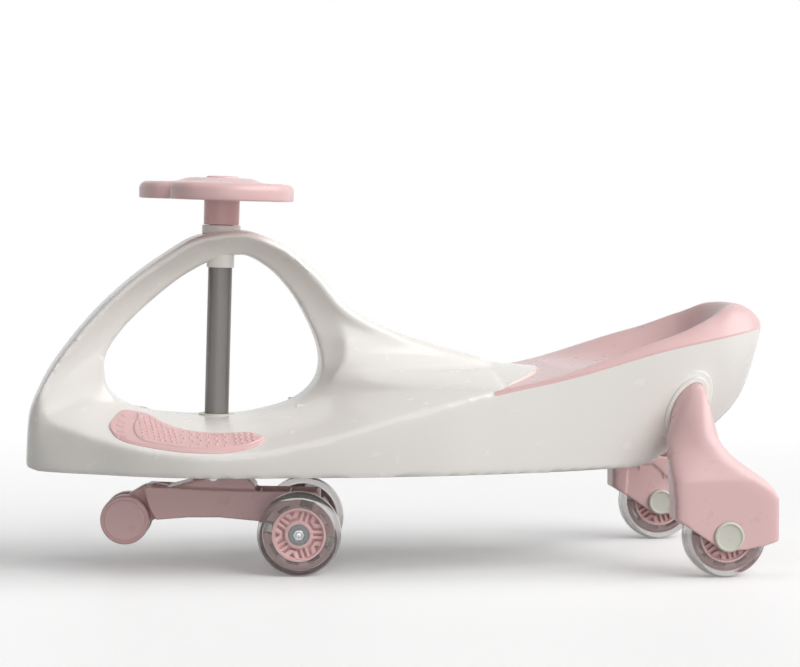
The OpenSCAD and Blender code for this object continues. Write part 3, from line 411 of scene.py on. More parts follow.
class Finish:
    """A procedural material with its tint, roughness and grain."""

    def __init__(self, name):
        self.mat = bpy.data.materials.new(name)
        self.mat.use_nodes = True
        self.tree = self.mat.node_tree
        self.bsdf = self.tree.nodes["Principled BSDF"]
        self.where = add_node(self.tree, "TexCoord").outputs["Object"]

    def noise(self, scale, detail, low=None, high=None):
        """A noise, its middle spread from low to high on request."""
        value = add_node(self.tree, "TexNoise", Vector=self.where, Scale=scale, Detail=detail,
                         Roughness=NOISE_ROUGH).outputs["Fac"]
        if low is None:
            return value
        return add_node(self.tree, "MapRange", Value=value, From_Min=NOISE_SPAN[0], From_Max=NOISE_SPAN[1],
                        To_Min=low, To_Max=high).outputs["Result"]

    def wire(self, value, socket):
        self.tree.links.new(value, self.bsdf.inputs[socket])

    def colour(self, value, a, b):
        """A mix of two colours, the second of which may be a mix made before."""
        b = b if isinstance(b, bpy.types.NodeSocket) else (*b, 1)
        mixed = add_node(self.tree, "Mix", settings={"data_type": "RGBA"}, Factor=value, A=(*a, 1), B=b)
        self.wire(mixed.outputs["Result"], "Base Color")
        return mixed.outputs["Result"]

    def bump(self, value, depth):
        self.wire(add_node(self.tree, "Bump", Height=value, Distance=depth * MM).outputs["Normal"], "Normal")

    def set(self, values):
        for key, value in values.items():
            self.bsdf.inputs[key].default_value = value


NOISE_ROUGH, NOISE_SPAN = 0.55, (0.3, 0.7)


def shade(colour, factor):
    return tuple(c * factor for c in colour)


def surface(name, colour, dark, cloud, sheen, grain, depth, values):
    """Colour with a darker cloud (scale, detail), sheen (scale, detail, low, high) and fine grain."""
    f = Finish(name)
    f.colour(f.noise(*cloud, 0, 1), shade(colour, dark), tuple(colour))
    f.wire(f.noise(*sheen), "Roughness")
    f.bump(f.noise(grain, 2), depth)
    f.set(values)
    return f.mat


def moulded(name, colour, low, high, grain, depth, coat=0.0):
    """Moulded plastic: a faint cloud in the colour, a fine grain and a changing sheen."""
    return surface(name, colour, 0.985, (9, 2), (60, 4, low, high), grain, depth,
                   {"IOR": 1.5, "Coat Weight": coat, "Coat Roughness": 0.08})


def plated_steel(name, colour, factor=1.0):
    return surface(name, shade(colour, factor), 0.94, (60, 3), (90, 3, 0.24, 0.32), 900, 0.003,
                   {"Metallic": 1.0})


class WiggleCarFinish(bpy.types.PropertyGroup):
    """Colours of the car."""

    body: FloatVectorProperty(
        name="Body", description="Colour of the moulded body", subtype="COLOR", default=(0.87, 0.84, 0.795))
    pink: FloatVectorProperty(
        name="Pink", description="Colour of the seat, pads, legs, truck and steering wheel", subtype="COLOR",
        default=(0.80, 0.53, 0.525))
    cap: FloatVectorProperty(
        name="Caps", description="Colour of the round hub caps and the lower bush", subtype="COLOR",
        default=(0.66, 0.65, 0.57))
    tube: FloatVectorProperty(
        name="Tube", description="Colour of the steering tube", subtype="COLOR", default=(0.21, 0.20, 0.19))
    tyre: FloatVectorProperty(
        name="Tyres", description="Tint of the clear tyres", subtype="COLOR", default=(0.63, 0.61, 0.60))
    steel: FloatVectorProperty(
        name="Steel", description="Colour of axles, bearings and screws", subtype="COLOR",
        default=(0.50, 0.51, 0.52))


class WiggleCarSizes(bpy.types.PropertyGroup):
    """Sizes of the modelled detail."""

    skin: FloatProperty(
        name="Skin", description="Size of the faces of the smoothed body", default=3.0 * MM, unit="LENGTH")
    fine: FloatProperty(
        name="Fine skin", description="Size of the faces of the smoothed legs and truck", default=1.3 * MM,
        unit="LENGTH")
    nub: FloatProperty(
        name="Nub", description="Radius of the grip nubs on the foot pads", default=1.15 * MM, unit="LENGTH")


class WiggleCarStage(bpy.types.PropertyGroup):
    """Light and camera."""

    level: FloatProperty(
        name="Level", description="Strength of all the lamps", default=1.0, subtype="FACTOR", soft_max=2)
    softness: FloatProperty(
        name="Softness", description="Width of each lamp", default=math.radians(45), subtype="ANGLE")
    sky: FloatProperty(
        name="Sky", description="Strength of the light from all round", default=0.08, subtype="FACTOR")
    lens: FloatProperty(
        name="Lens", description="Focal length of the camera", default=117.5, unit="CAMERA")


# Each finish: its kind and name, its colour in the panel and the rest of its values
LOOKS = {
    "body": (moulded, "warm_white_gloss", "body", 0.20, 0.28, 900, 0.006, 0.2),
    "pink": (moulded, "soft_pink_satin", "pink", 0.26, 0.34, 1400, 0.006, 0.1),
    "core": (moulded, "wheel_pink", "pink", 0.3, 0.4, 1400, 0.008),
    "pad": (moulded, "soft_pink_grip", "pink", 0.38, 0.48, 1800, 0.015),
    "cap": (moulded, "off_white_cap", "cap", 0.25, 0.33, 1400, 0.006),
    "tube": (surface, "grey_powder_coat", "tube", 0.93, (40, 3), (250, 3, 0.30, 0.40), 1800, 0.03,
             {"Metallic": 0.35}),
    "steel": (plated_steel, "zinc_plated_steel", "steel"),
    "race": (plated_steel, "dark_bearing_steel", "steel", 0.42),
    "tyre": (surface, "clear_polyurethane", "tyre", 0.94, (30, 2), (140, 3, 0.05, 0.12), 300, 0.006,
             {"Transmission Weight": 0.92, "IOR": 1.42}),
}
SLOTS = {"white_plastic": "body", "pink_plastic": "pink", "pale_plastic": "cap", "grey_tube": "tube",
         "steel": "steel", "clear_tyre": "tyre"}
MATERIALS = {}


def material(key):
    """The car's finishes, each made once from the colours in the panel."""
    if key not in MATERIALS:
        kind, name, tint, *values = LOOKS[key]
        MATERIALS[key] = kind(name, getattr(bpy.context.scene.wiggle_car_finish, tint), *values)
    return MATERIALS[key]


# Spans between two rays of the platform, whose lower edge keeps to the side lines
LOW_SPANS = {0, 1, 2, 3, 21, 22, 23, 24, 25}


def ray_at(k, t):
    """The ray at a share of the way from one ray of the table to the next."""
    n = len(RAYS)
    row = []
    for c in range(RAYS.shape[1]):
        v = [RAYS[(k + d) % n, c] for d in (-1, 0, 1, 2)]
        before, here, after = np.diff(v)
        row.append(hermite(v[1], v[2], blend_grade(before, here), blend_grade(here, after), t))
    if k in LOW_SPANS:
        row[4:6] = float(CREASE(row[3])), float(SIDE(row[3]))
        row[7:9] = float(LOWER(row[6])), float(SIDE(row[6]) * TURN_IN(row[6]))
    return row


def ray_section(r):
    """One closed section of the body, from the arch opening out to the lower edge and back."""
    peak = r[12]
    s = np.concatenate([np.linspace(0, peak, 8), np.linspace(peak, 1, 13)[1:]])
    even = 4 * s * (1 - s)
    shoulder = np.where(s < peak, (s / peak) ** 1.6, (np.maximum(0, 1 - s) / (1 - peak)) ** 2)
    flank = np.stack([mix(r[0], r[3], s), mix(r[2], r[5], s) + even * r[9] + shoulder * r[11],
                      mix(r[1], r[4], s) + even * r[13]], 1)
    t = np.linspace(0, 1, 9)[1:]
    skirt = np.stack([mix(r[3], r[6], t), mix(r[5], r[8], t * t), mix(r[4], r[7], t)], 1)
    half = np.concatenate([flank, skirt])
    way = np.array([r[6] - r[0], r[7] - r[1]])
    way = way / np.linalg.norm(way)
    v = np.linspace(-1, 1, 9)[1:-1]
    outer = np.stack([r[6] + way[0] * r[10] * (1 - v * v), v * r[8], r[7] + way[1] * r[10] * (1 - v * v)], 1)
    lip = SILL_LIP * (1 - v * v)
    inner = np.stack([r[0] - way[0] * lip, -v * r[2], r[1] - way[1] * lip], 1)
    left = half * (1, -1, 1)
    return np.concatenate([left, outer, half[::-1], inner])


def front_form(steps=8):
    rays = [ray_at(k, i / steps) for k in range(len(RAYS)) for i in range(steps)]
    return loft("body_front", [ray_section(r) for r in rays], True)


# The rear form starts inside the front form, laps it and is full from there on
REAR_X, REAR_FULL_X, REAR_END_X, LAP_L = 62, 89, 388, 24
LAP_IN, LAP_DOWN, LAP_UP, LAP_TOP = 1.5, 1, 0.5, 12
EDGE_RISE, RISE_X, RISE_L = 12, 92, 30


def rear_section(x):
    """A section across the car under the seat. Its edge stands up, to be trimmed to the seat."""
    lap = ease((REAR_FULL_X - x) / LAP_L)
    w, zc = SIDE(x) - LAP_IN * lap, CREASE(x) - LAP_DOWN * lap
    zl, f = LOWER(x) + LAP_UP * lap, TURN_IN(x)
    zt = max(float(TOP(x)), float(zc)) - LAP_TOP * lap
    s = np.linspace(0, 1, 15)
    side = np.stack([np.full(15, x), w * mix(f, 1, 1 - (1 - s) ** 2.2), mix(zl, zc, s)], 1)
    rise = EDGE_RISE * ease((x - RISE_X) / RISE_L)
    edge = np.array([[x, w, zc + rise], [x, w * 0.9, zc + rise]])
    u = np.array([0.8, 0.68, 0.55, 0.43, 0.32, 0.21, 0.175, 0.14, 0.07, 0.0])
    share = np.interp(u, [0, 0.14, 0.21, 0.43, 0.68, 1], [1, 1, 0.85, 0.6, 0.3, 0])
    top = np.stack([np.full(len(u), x), w * u, mix(zc, zt, share)], 1)
    half = np.concatenate([side, edge, top])
    return np.concatenate([half * (1, -1, 1), half[-2::-1]])


def rear_form():
    return loft("body_rear", [rear_section(x) for x in np.linspace(REAR_X, REAR_END_X, 118)])


def hollow_half(x):
    """Half of a section of the hollow, from below the lower edge up to the roof."""
    w, f, zl, zr = SIDE(x), TURN_IN(x), LOWER(x), ROOF(x)
    zc = min(float(CREASE(x)), float(zr) + WALL)
    return np.array([
        [x, w * f - WALL, zl - 60], [x, w * f - WALL, zl], [x, w * mix(f, 1, 0.8) - WALL, mix(zl, zc, 0.6)],
        [x, w * 0.93 - WALL, zc - WALL], [x, w * 0.5, min(mix(zc, zr, 0.5) - WALL * 0.3, zr)],
        [x, w * 0.14, zr]])


def hollow():
    xs = np.concatenate([np.linspace(-352, -300, 14), np.linspace(-295, 240, 50), np.linspace(245, 292, 12)])
    return loft("body_hollow", [np.concatenate([h * (1, -1, 1), h[::-1]]) for h in map(hollow_half, xs)])


RIB_X = [-308, -262, -112, -62, -12, 40, 96, 152, 208]
RIB_T, RIB_LOW, RIB_BITE = 2.6, 136, 1.5
SPINE_Y, SPINE_X, SPINE_TOP = 46, (-112, 208), 172


def rib(x):
    """A stiffening plate across the hollow, a little into the walls and roof."""
    h = hollow_half(x)[2:, 1:] + RIB_BITE
    up = np.array([q for q in h if q[1] > RIB_LOW + 10])
    outline = np.concatenate([[[up[0, 0], RIB_LOW]], up, (up * (-1, 1))[::-1], [[-up[0, 0], RIB_LOW]]])
    return loft("rib", [[(x + d, y, z) for y, z in outline] for d in (-RIB_T / 2, RIB_T / 2)])


def spine(side):
    """A stiffening plate along the hollow, across the ribs."""
    a, b = side * SPINE_Y - RIB_T / 2, side * SPINE_Y + RIB_T / 2
    ring = [(a, RIB_LOW), (b, RIB_LOW), (b, SPINE_TOP), (a, SPINE_TOP)]
    return loft("spine", [[(x, *q) for q in ring] for x in SPINE_X])


def edge_in(x, y):
    """Distance in from the seat's edge, round at its rear corners."""
    a = np.maximum(0.01, SIDE(x) - np.abs(y))
    b = np.maximum(0.01, REAR_END_X + 1 - x)
    return (a ** -4 + b ** -4) ** -0.25


def drop(t):
    """The wall of the seat rolls off its crest and meets the pan at an angle."""
    u = np.clip(t, 0, 1)
    return mix(ease(u), u ** 1.4, 0.6)


def seat_top(x, y):
    """Height of the seat: up from its edge to the crest, then down into the bowl."""
    d, c, h, e = edge_in(x, y), CREST_IN(x), CREST_UP(x), CREASE(x) + EDGE_UP(x)
    return np.where(d < c, e + h * np.sin(np.radians(90 * np.clip(d / c, 0, 1))),
                    mix(e + h, np.minimum(PAN(x), e + h), drop((d - c) / BOWL_W(x))))


def seat_low(x, y):
    return np.minimum(CREASE(x), seat_top(x, y) - SEAT_T)


def seat_grid(n, k, gap, out):
    """Places of the seat's grid: x and y of each point, and the y at which its height is read."""
    u = np.linspace(0, 1, n)[:, None] ** 0.85
    v = np.sin(np.linspace(-math.pi / 2, math.pi / 2, k))[None, :]
    x = mix(mix(TONGUE_X, SEAT_TIP_X, np.abs(v) ** TONGUE_POWER) - gap, SEAT_END_X + out, u)
    xr = np.clip(x, None, REAR_END_X)
    return x, v * (SIDE(xr) + out), v * SIDE(xr)


def seat_pocket():
    x, y, y0 = seat_grid(60, 61, 0.3, 3)
    low = np.stack([x, y, seat_low(np.clip(x, None, REAR_END_X - 0.5), y0)], 2)
    return sheet("seat_pocket", low + (0, 0, 120), low)


# Ways of the column's bushes along its axis, and the oval sockets of the legs
COLLAR_R, FLANGE_R, BUSH_R = 20.2, 18.7, 14.45
COLLAR_TOP, FLANGE_LOW, BOSS_LOW = 192.08, -6.6, -35.0
SOCKET_X, SOCKET_Z, SOCKET_TILT = 286, 170, math.radians(60)
SOCKET_RINGS = [(80, 46, 99), (67, 36, 104)]
ROOT_L, ROOT_W, ROOT_Y = 54.6, 27.6, 90


def oval(name, length, width, y_low, y_high, bevel, side):
    """An oval disc on the body's side, square to Y."""
    obj = cylinder(name, 500, y_low, y_high)
    obj.data.transform(Matrix.Diagonal((length / 1000, width / 1000, 1, 1)))
    if bevel:
        rounded(obj, bevel, 3, 40)
    obj.data.transform(at_point(SOCKET_X, 0, SOCKET_Z) @ along_y(-1) @ Matrix.Rotation(SOCKET_TILT, 4, "Z"))
    if side > 0:
        obj.data.transform(ACROSS)
        outward(obj)
    return obj


def root_way(side):
    return oval("root_way", ROOT_L, ROOT_W, ROOT_Y, 140, 0, side)


def pad_floor(x, y):
    """Height of the platform's top."""
    w = SIDE(x)
    t = np.clip((w - np.abs(y)) / (w - SILL_Y), 0, 1)
    return mix(CREASE(x), SILL(x), t) + 4 * t * (1 - t) * DOME(x)


PAD_X = (-305, -150.5)
PAD_UP, PAD_DOWN = 1.8, 2.2


def pad_grid(n, k):
    """Places over one pad: x, distance from the middle of the car, and the share of the way across."""
    x = mix(PAD_X[0], PAD_X[1], 0.5 - 0.5 * np.cos(np.linspace(0, math.pi, n)))[:, None]
    v = (0.5 - 0.5 * np.cos(np.linspace(0, math.pi, k)))[None, :]
    a, b = PAD_INNER(x), PAD_OUTER(x)
    return np.broadcast_to(x, (n, k)), mix(a, b, v), np.broadcast_to(v, (n, k))


def pad_pocket(side):
    x, y, v = pad_grid(60, 25)
    y = y + (v - 0.5) * 0.5
    z = pad_floor(x, y)
    return sheet("pad_pocket", np.stack([x, side * y, z + 30], 2), np.stack([x, side * y, z - PAD_DOWN], 2))


class WIGGLE_CAR_OT_body(bpy.types.Operator):
    """Models the body: one smooth skin round the arch and under the seat, hollow below and ribbed"""

    bl_idname = "wiggle_car.body"
    bl_label = "Body"

    def execute(self, context):
        sizes = context.scene.wiggle_car_sizes
        body = join(front_form(), rear_form())
        body.name = body.data.name = "body_moulding"
        skinned(body, sizes.skin, 4)
        cut(body, hollow(), seat_pocket(), pad_pocket(-1), pad_pocket(1))
        column = on_column()
        cut(body, cylinder("column_way", BUSH_R, BOSS_LOW - 40, COLLAR_TOP, column),
            cylinder("flange_seat", FLANGE_R, FLANGE_LOW, FLANGE_LOW + 12, column),
            cylinder("collar_seat", COLLAR_R, COLLAR_TOP - 9, COLLAR_TOP + 20, column))
        boss_r = BUSH_R + WALL
        boss = turned("column_boss", [(BUSH_R, BOSS_LOW), (boss_r, BOSS_LOW), (boss_r, FLANGE_LOW),
                                      (BUSH_R, FLANGE_LOW)], column)
        rings = []
        for side in (-1, 1):
            cut(body, root_way(side))
            rings += [cut(oval("socket_ring", l, w, 60, y, 1.4, side), root_way(side))
                      for l, w, y in SOCKET_RINGS]
        join(body, boss, *rings, *[rib(x) for x in RIB_X], spine(-1), spine(1))
        finish_piece(body, "car_body", "white_plastic", "body_shell", 40)
        return {"FINISHED"}


class WIGGLE_CAR_OT_seat(bpy.types.Operator):
    """Models the saddle with its raised rim and back rest"""

    bl_idname = "wiggle_car.seat"
    bl_label = "Seat"

    def execute(self, context):
        x, y, y0 = seat_grid(110, 91, 0, -0.25)
        top = np.stack([x, y, seat_top(x, y0)], 2)
        low = np.stack([x, y, seat_low(x, y0) + 0.25], 2)
        finish_piece(sheet("saddle", top, low), "car_body", "pink_plastic", "seat", 40)
        return {"FINISHED"}


BALL_LINE = Line([
    (56, -276), (63.8, -279.3), (70.8, -280.5), (77.2, -280.5), (84.8, -278.8), (91.2, -275), (97, -268.9),
    (101, -262), (112, -245)])
TOE_MARKS = [
    ((-297, 59.5), (-290.1, 63.8)), ((-299, 65.5), (-291.5, 70.5)), ((-298.3, 74), (-291.7, 77.2)),
    ((-295.4, 81.5), (-289.7, 84.5))]
BIG_TOE, BIG_TOE_R = (-281, 45.0), 13.0
PAD_ROUND, PAD_ROUND_W, SOLE_UP, TOE_UP, MARK_DEPTH, MARK_W = 1.2, 2.4, 1.5, 1.2, 1.4, 0.75
# Nubs of the middle and the heel: rows, first row, pitch, stagger, inset, spread and nubs in a row
NUB_ROWS = ((6, -233, 8.4, 2.2, 7, 4.5, 5), (4, -180.5, 5.8, 1.5, 6, 5.5, 6))
NUB_SIDES, NUB_RINGS, NUB_TOP = 8, ((1, -0.6), (1, 0.35), (0.72, 0.95)), 1.12


def pad_relief(x, y):
    """Height of the pad's top over the platform: rounded edge, raised sole, big toe and toe marks."""
    a, b = PAD_INNER(x), PAD_OUTER(x)
    edge = np.minimum(np.minimum(y - a, b - y), np.minimum(x - PAD_X[0], PAD_X[1] - x))
    h = PAD_UP - PAD_ROUND * (1 - ease(edge / PAD_ROUND_W))
    sole = np.minimum((x - BALL_LINE(np.clip(y, 56, 112))) * 0.9, b - y - 3.4)
    h = h + SOLE_UP * ease(sole / 1.1) * ease((y - a - 3) / 9)
    toe = np.hypot(x - BIG_TOE[0], y - BIG_TOE[1])
    h = h + TOE_UP * ease((BIG_TOE_R - toe) / 1.3) * ease((y - BIG_TOE[1] - 2) / 5)
    for (x0, y0), (x1, y1) in TOE_MARKS:
        t = np.clip(((x - x0) * (x1 - x0) + (y - y0) * (y1 - y0)) / ((x1 - x0) ** 2 + (y1 - y0) ** 2), 0, 1)
        h = h - MARK_DEPTH * np.exp(-(np.hypot(x - mix(x0, x1, t), y - mix(y0, y1, t)) / MARK_W) ** 2)
    return h


def nub_places():
    """Rows of nubs: slanted at the ball, open in the middle and close at the heel."""
    places = []
    for i in range(7):
        x = -274.5 + 5.6 * i
        low, high = PAD_INNER(x) + (14 if i > 1 else 22), PAD_OUTER(x) - 7.5
        count = int((high - low) / 5.0) + 1
        places += [(x + 4.0 * j / count, mix(low, high, j / (count - 1))) for j in range(count)]
    for rows, first, pitch, stagger, inset, spread, count in NUB_ROWS:
        for i in range(rows):
            x = first + pitch * i
            low, high = PAD_INNER(x) + inset, PAD_OUTER(x) - 7
            places += [(x + stagger * (j % 2), mix(low, high, (j + 0.5 * (i % 2)) / spread))
                       for j in range(count)]
    return np.array(places, float)


def nubs(name, side, radius):
    """Low domes on the pad, one closed shell each."""
    turns = np.arange(NUB_SIDES) * 2 * math.pi / NUB_SIDES
    skin, last = grid_faces(len(NUB_RINGS), NUB_SIDES), (len(NUB_RINGS) - 1) * NUB_SIDES
    skin += [(last + j, last + (j + 1) % NUB_SIDES, last + NUB_SIDES) for j in range(NUB_SIDES)]
    skin.append(tuple(range(NUB_SIDES - 1, -1, -1)))
    points, faces = [], []
    for x, y in nub_places():
        z = float(pad_floor(x, y) + pad_relief(x, y))
        faces += [tuple(len(points) + j for j in f) for f in skin]
        for r, h in NUB_RINGS:
            points += [(x + radius * r * math.cos(a), side * (y + radius * r * math.sin(a)), z + radius * h)
                       for a in turns]
        points.append((x, side * y, z + radius * NUB_TOP))
    return new_piece(name, points, faces)


class WIGGLE_CAR_OT_pads(bpy.types.Operator):
    """Models the two foot pads with their toe marks, raised sole and rows of nubs"""

    bl_idname = "wiggle_car.pads"
    bl_label = "Foot pads"

    def execute(self, context):
        radius = context.scene.wiggle_car_sizes.nub / MM
        x, y, _ = pad_grid(260, 81)
        for sign, side in SIDES:
            top = np.stack([x, sign * y, pad_floor(x, y) + pad_relief(x, y)], 2)
            low = np.stack([x, sign * y, pad_floor(x, y) - PAD_DOWN + 0.1], 2)
            pad = join(sheet("sole_pad_" + side, top, low), nubs("nubs", sign, radius))
            finish_piece(pad, "car_body", "pink_plastic", "foot_pad_" + side, 50, "pad")
        return {"FINISHED"}


# Each row of the leg: middle along the car, share of the way out, height, half length, half width,
# turn to level, tilt and squareness
LEG_ROWS = np.array([
    (286, -1, 170, 27, 13.5, 0, 60, 2), (286, 0, 170, 27, 13.5, 0, 60, 2),
    (285.5, 0.17, 167, 27, 14, 10, 60, 2), (284, 0.34, 161, 27, 15.5, 28, 57, 2),
    (283.5, 0.51, 152, 26, 18, 50, 48, 2.1), (284, 0.68, 139, 26.5, 21, 71, 30, 2.4),
    (289, 0.84, 124, 32, 23, 86, 10, 2.9), (298, 0.95, 110, 41, 24, 90, 2, 3.8),
    (306.5, 1, 98, 48.5, 24.5, 90, 0, 5), (312, 1, 86, 53, 24.5, 90, 0, 7), (314, 1, 76, 54, 24.5, 90, 0, 8),
    (314, 1, 28, 54, 24.5, 90, 0, 8)], float)
LEG_HALF, FORK_IN, FORK_OUT = 24.5, 127.0, 168.0
AXLE_X, AXLE_Z, WELL_R, WELL_HALF = 314.0, 43.0, 47.0, 14.5
LEG_FOOT = [(-80, -20), (-80, 62), (-51, 59), (-15, 35), (0, 29), (15, 29), (38, 33), (80, 46), (80, -20)]
CAP_OUT_R, CAP_IN_R, CAP_SEAT = 15.5, 14.0, 2.0
RECESS = [(-42, -20), (-38, 36), (-24, 43), (-8, 43), (22, 15), (46, 6), (46, -20)]
FINS, FIN_L, FIN_T = ((-24, 43), (4, 33)), 9.0, 1.4


def power(v, n):
    return np.sign(v) * np.abs(v) ** (2 / n)


def leg_form():
    """The left leg before its cuts, from its root in the socket to the foot."""
    fork_mid, fork_half = (FORK_IN + FORK_OUT) / 2, (FORK_OUT - FORK_IN) / 2
    rows = LEG_ROWS.copy()
    rows[:, 1] = np.where(rows[:, 1] < 0, ROOT_Y, mix(SOCKET_RINGS[1][2], fork_mid, rows[:, 1]))
    lines = [Line(list(enumerate(column))) for column in rows.T]
    a = -np.arange(96) * 2 * math.pi / 96
    sections = []
    for t in np.linspace(0, len(rows) - 1, 100):
        x, y, z, half_l, half_w, turn, tilt, square = (float(line(t)) for line in lines)
        turn, tilt = math.radians(turn), math.radians(tilt)
        u = half_l * power(np.cos(a), square)
        v = half_w * mix(1, fork_half / LEG_HALF, turn / (math.pi / 2)) * power(np.sin(a), square)
        du = u * math.cos(tilt) - v * math.sin(tilt)
        dv = u * math.sin(tilt) + v * math.cos(tilt)
        sections.append(np.stack([x + du, -y - dv * math.sin(turn), z + dv * math.cos(turn)], 1))
    return loft("leg_left_arm", sections)


def leg_cuts():
    """The wheel well, the foot's lower edge, the axle's way, the cap seats and the inner pockets."""
    mid = -(FORK_IN + FORK_OUT) / 2 + 0.5
    arc = [(AXLE_X + WELL_R * math.cos(q), AXLE_Z + WELL_R * math.sin(q))
           for q in np.linspace(0, math.pi, 49)] + [(AXLE_X - WELL_R, -20), (AXLE_X + WELL_R, -20)]
    yield prism("well", arc, mid - WELL_HALF, mid + WELL_HALF)
    yield prism("foot", [(AXLE_X + x, z) for x, z in LEG_FOOT], mid - 80, mid + 80)
    axle = at_point(AXLE_X, 0, AXLE_Z) @ along_y(-1)
    yield cylinder("axle_way", 4.3, 100, 190, axle, 48)
    yield cylinder("cap_seat", CAP_OUT_R + 0.2, FORK_OUT - CAP_SEAT, FORK_OUT + 20, axle)
    yield cylinder("cap_seat", CAP_IN_R + 0.2, FORK_IN - 20, FORK_IN + CAP_SEAT, axle)
    for low in (44, 70, 96):
        turns = np.radians(np.linspace(low, low + 22, 9))
        ring = [(AXLE_X + r * math.cos(q), AXLE_Z + r * math.sin(q))
                for r, way in ((WELL_R + 4, turns), (WELL_R + 13, turns[::-1])) for q in way]
        yield prism("pocket", ring, -FORK_IN - 14, -FORK_IN + 20)
    recess = [(AXLE_X + x, AXLE_Z + z) for x, z in RECESS]
    yield prism("inner_recess", recess, -FORK_IN - CAP_SEAT, -FORK_IN + 20)


def fin(x, z):
    """A small wedge between the inner face and the lip over it."""
    face, lip = -FORK_IN - CAP_SEAT - 0.5, -FORK_IN + 1.5
    ring = [(face, z - FIN_L), (face, z), (lip, z)]
    return loft("fin", [[(x + d, *q) for q in ring] for d in (-FIN_T / 2, FIN_T / 2)])


class WIGGLE_CAR_OT_legs(bpy.types.Operator):
    """Models the two rear legs, each one smooth moulding from the socket to the fender round the wheel"""

    bl_idname = "wiggle_car.legs"
    bl_label = "Rear legs"

    def execute(self, context):
        leg = cut(leg_form(), *leg_cuts())
        skinned(leg, context.scene.wiggle_car_sizes.fine, 3)
        join(leg, *[fin(AXLE_X + x, AXLE_Z + z) for x, z in FINS])
        other = mirrored(leg, "leg_right_arm")
        finish_piece(leg, "car_body", "pink_plastic", "leg_left", 50)
        finish_piece(other, "car_body", "pink_plastic", "leg_right", 50)
        return {"FINISHED"}


def cap_profile(r):
    """A hub cap's section: a rounded edge and a shallow dish."""
    return [(0, 0), (r, 0), (r, 3.3), (r - 0.15, 4.0), (r - 0.6, 4.6), (r - 1.3, 4.95), (r - 2.4, 5.0),
            (r - 2.8, 4.85), (r - 3.05, 4.4), (r - 3.4, 4.0), (r - 4.2, 3.9), (0, 4.0)]


class WIGGLE_CAR_OT_caps(bpy.types.Operator):
    """Models the round caps over the ends of the rear axles"""

    bl_idname = "wiggle_car.caps"
    bl_label = "Hub caps"

    def execute(self, context):
        for node, r, y, out in (("rear_caps_outer", CAP_OUT_R, FORK_OUT - CAP_SEAT, 1),
                                ("rear_caps_inner", CAP_IN_R, FORK_IN + CAP_SEAT, -1)):
            places = [at_point(AXLE_X, sign * y, AXLE_Z) @ along_y(sign * out) for sign, _ in SIDES]
            caps = [turned(node + "_round", cap_profile(r), place, 128, False) for place in places]
            finish_piece(join(*caps), "car_body", "pale_plastic", node, 30)
        return {"FINISHED"}


# Steering wheel: outline of its three lobes, then rings of inset, height and share of the outline
LOBE = Line([
    (0, 0.50), (20, 0.60), (38, 0.80), (60, 0.96), (80, 1), (100, 0.95), (121, 0.79), (135, 0.60),
    (150, 0.67), (180, 0.75)])
LOBE_R, TUBE_R, NECK_R, CAP_R, CAP_DEPTH = 115, 12.55, 18.5, 17.1, 4
NECK_LOW, GRIP_LOW, TUBE_TOP, HUB_TOP = 192.58, 218.1, 224.2, 241.1
GRIP_RINGS = [
    (0, 0, 0.2), (0, 0, 0.5), (0, 0, 0.8), (5, 0, 1), (2.2, 0, 1), (0.9, 0.3, 1), (0.25, 1, 1), (0, 2, 1),
    (0, 6, 1), (0, 10, 1), (0.3, 12, 1), (1, 13.8, 1), (2.2, 15.5, 1), (4, 16.9, 1), (6.2, 17.7, 1),
    (9, 18, 1), (9, 18.1, 0.86), (9, 18.2, 0.74), (9, 18.6, 0.66), (9, 19.5, 0.6), (9, 20.8, 0.54),
    (9, 22, 0.49), (9, 22.7, 0.45), (9, 23, 0.4), (9, 23, 0.24)]
NECK = [(TUBE_R, NECK_LOW), (NECK_R - 0.5, NECK_LOW), (NECK_R, NECK_LOW + 0.5), (NECK_R, GRIP_LOW + 2),
        (TUBE_R, GRIP_LOW + 2)]
HUB_COVER = [(0, 0), (17, 0), (17, 3.8), (16.8, 4.6), (16.2, 5.3), (15.3, 5.8), (14.2, 6), (11, 6), (0, 6)]


def grip_ring(inset, height, share):
    """One ring of the wheel's skin, a share of its outline after the inset."""
    a = np.arange(216) * 360 / 216
    r = (LOBE_R * LOBE(np.where(a > 180, 360 - a, a)) - inset) * share
    turn = np.radians(a)
    return np.stack([r * np.cos(turn), r * np.sin(turn), np.full(216, GRIP_LOW + height)], 1)


class WIGGLE_CAR_OT_steering_wheel(bpy.types.Operator):
    """Models the three-lobed steering wheel with its neck and hub cover"""

    bl_idname = "wiggle_car.steering_wheel"
    bl_label = "Steering wheel"

    def execute(self, context):
        place = on_column() @ Matrix.Rotation(-STEER_TURN, 4, "Z")
        wheel = loft("lobed_wheel", [grip_ring(*ring) for ring in GRIP_RINGS])
        cut(wheel, cylinder("tube_way", TUBE_R, NECK_LOW - 5, TUBE_TOP),
            cylinder("cap_way", CAP_R, HUB_TOP - CAP_DEPTH, HUB_TOP + 9))
        join(wheel, turned("neck", NECK))
        wheel.data.transform(place)
        finish_piece(wheel, "steering", "pink_plastic", "steering_wheel", 32)
        cover = turned("hub_cover", HUB_COVER, place @ at_point(0, 0, HUB_TOP - CAP_DEPTH), 96, False)
        finish_piece(cover, "steering", "pink_plastic", "steering_cap", 32)
        return {"FINISHED"}


class WIGGLE_CAR_OT_truck(bpy.types.Operator):
    """Rounds the edges of the front arm that carries the wheels and rollers"""

    bl_idname = "wiggle_car.truck"
    bl_label = "Truck"

    def execute(self, context):
        arm = skinned(node_copy("swing_arm", "truck"), context.scene.wiggle_car_sizes.fine, 3)
        finish_piece(arm, "steering", "pink_plastic", "truck", 60)
        return {"FINISHED"}


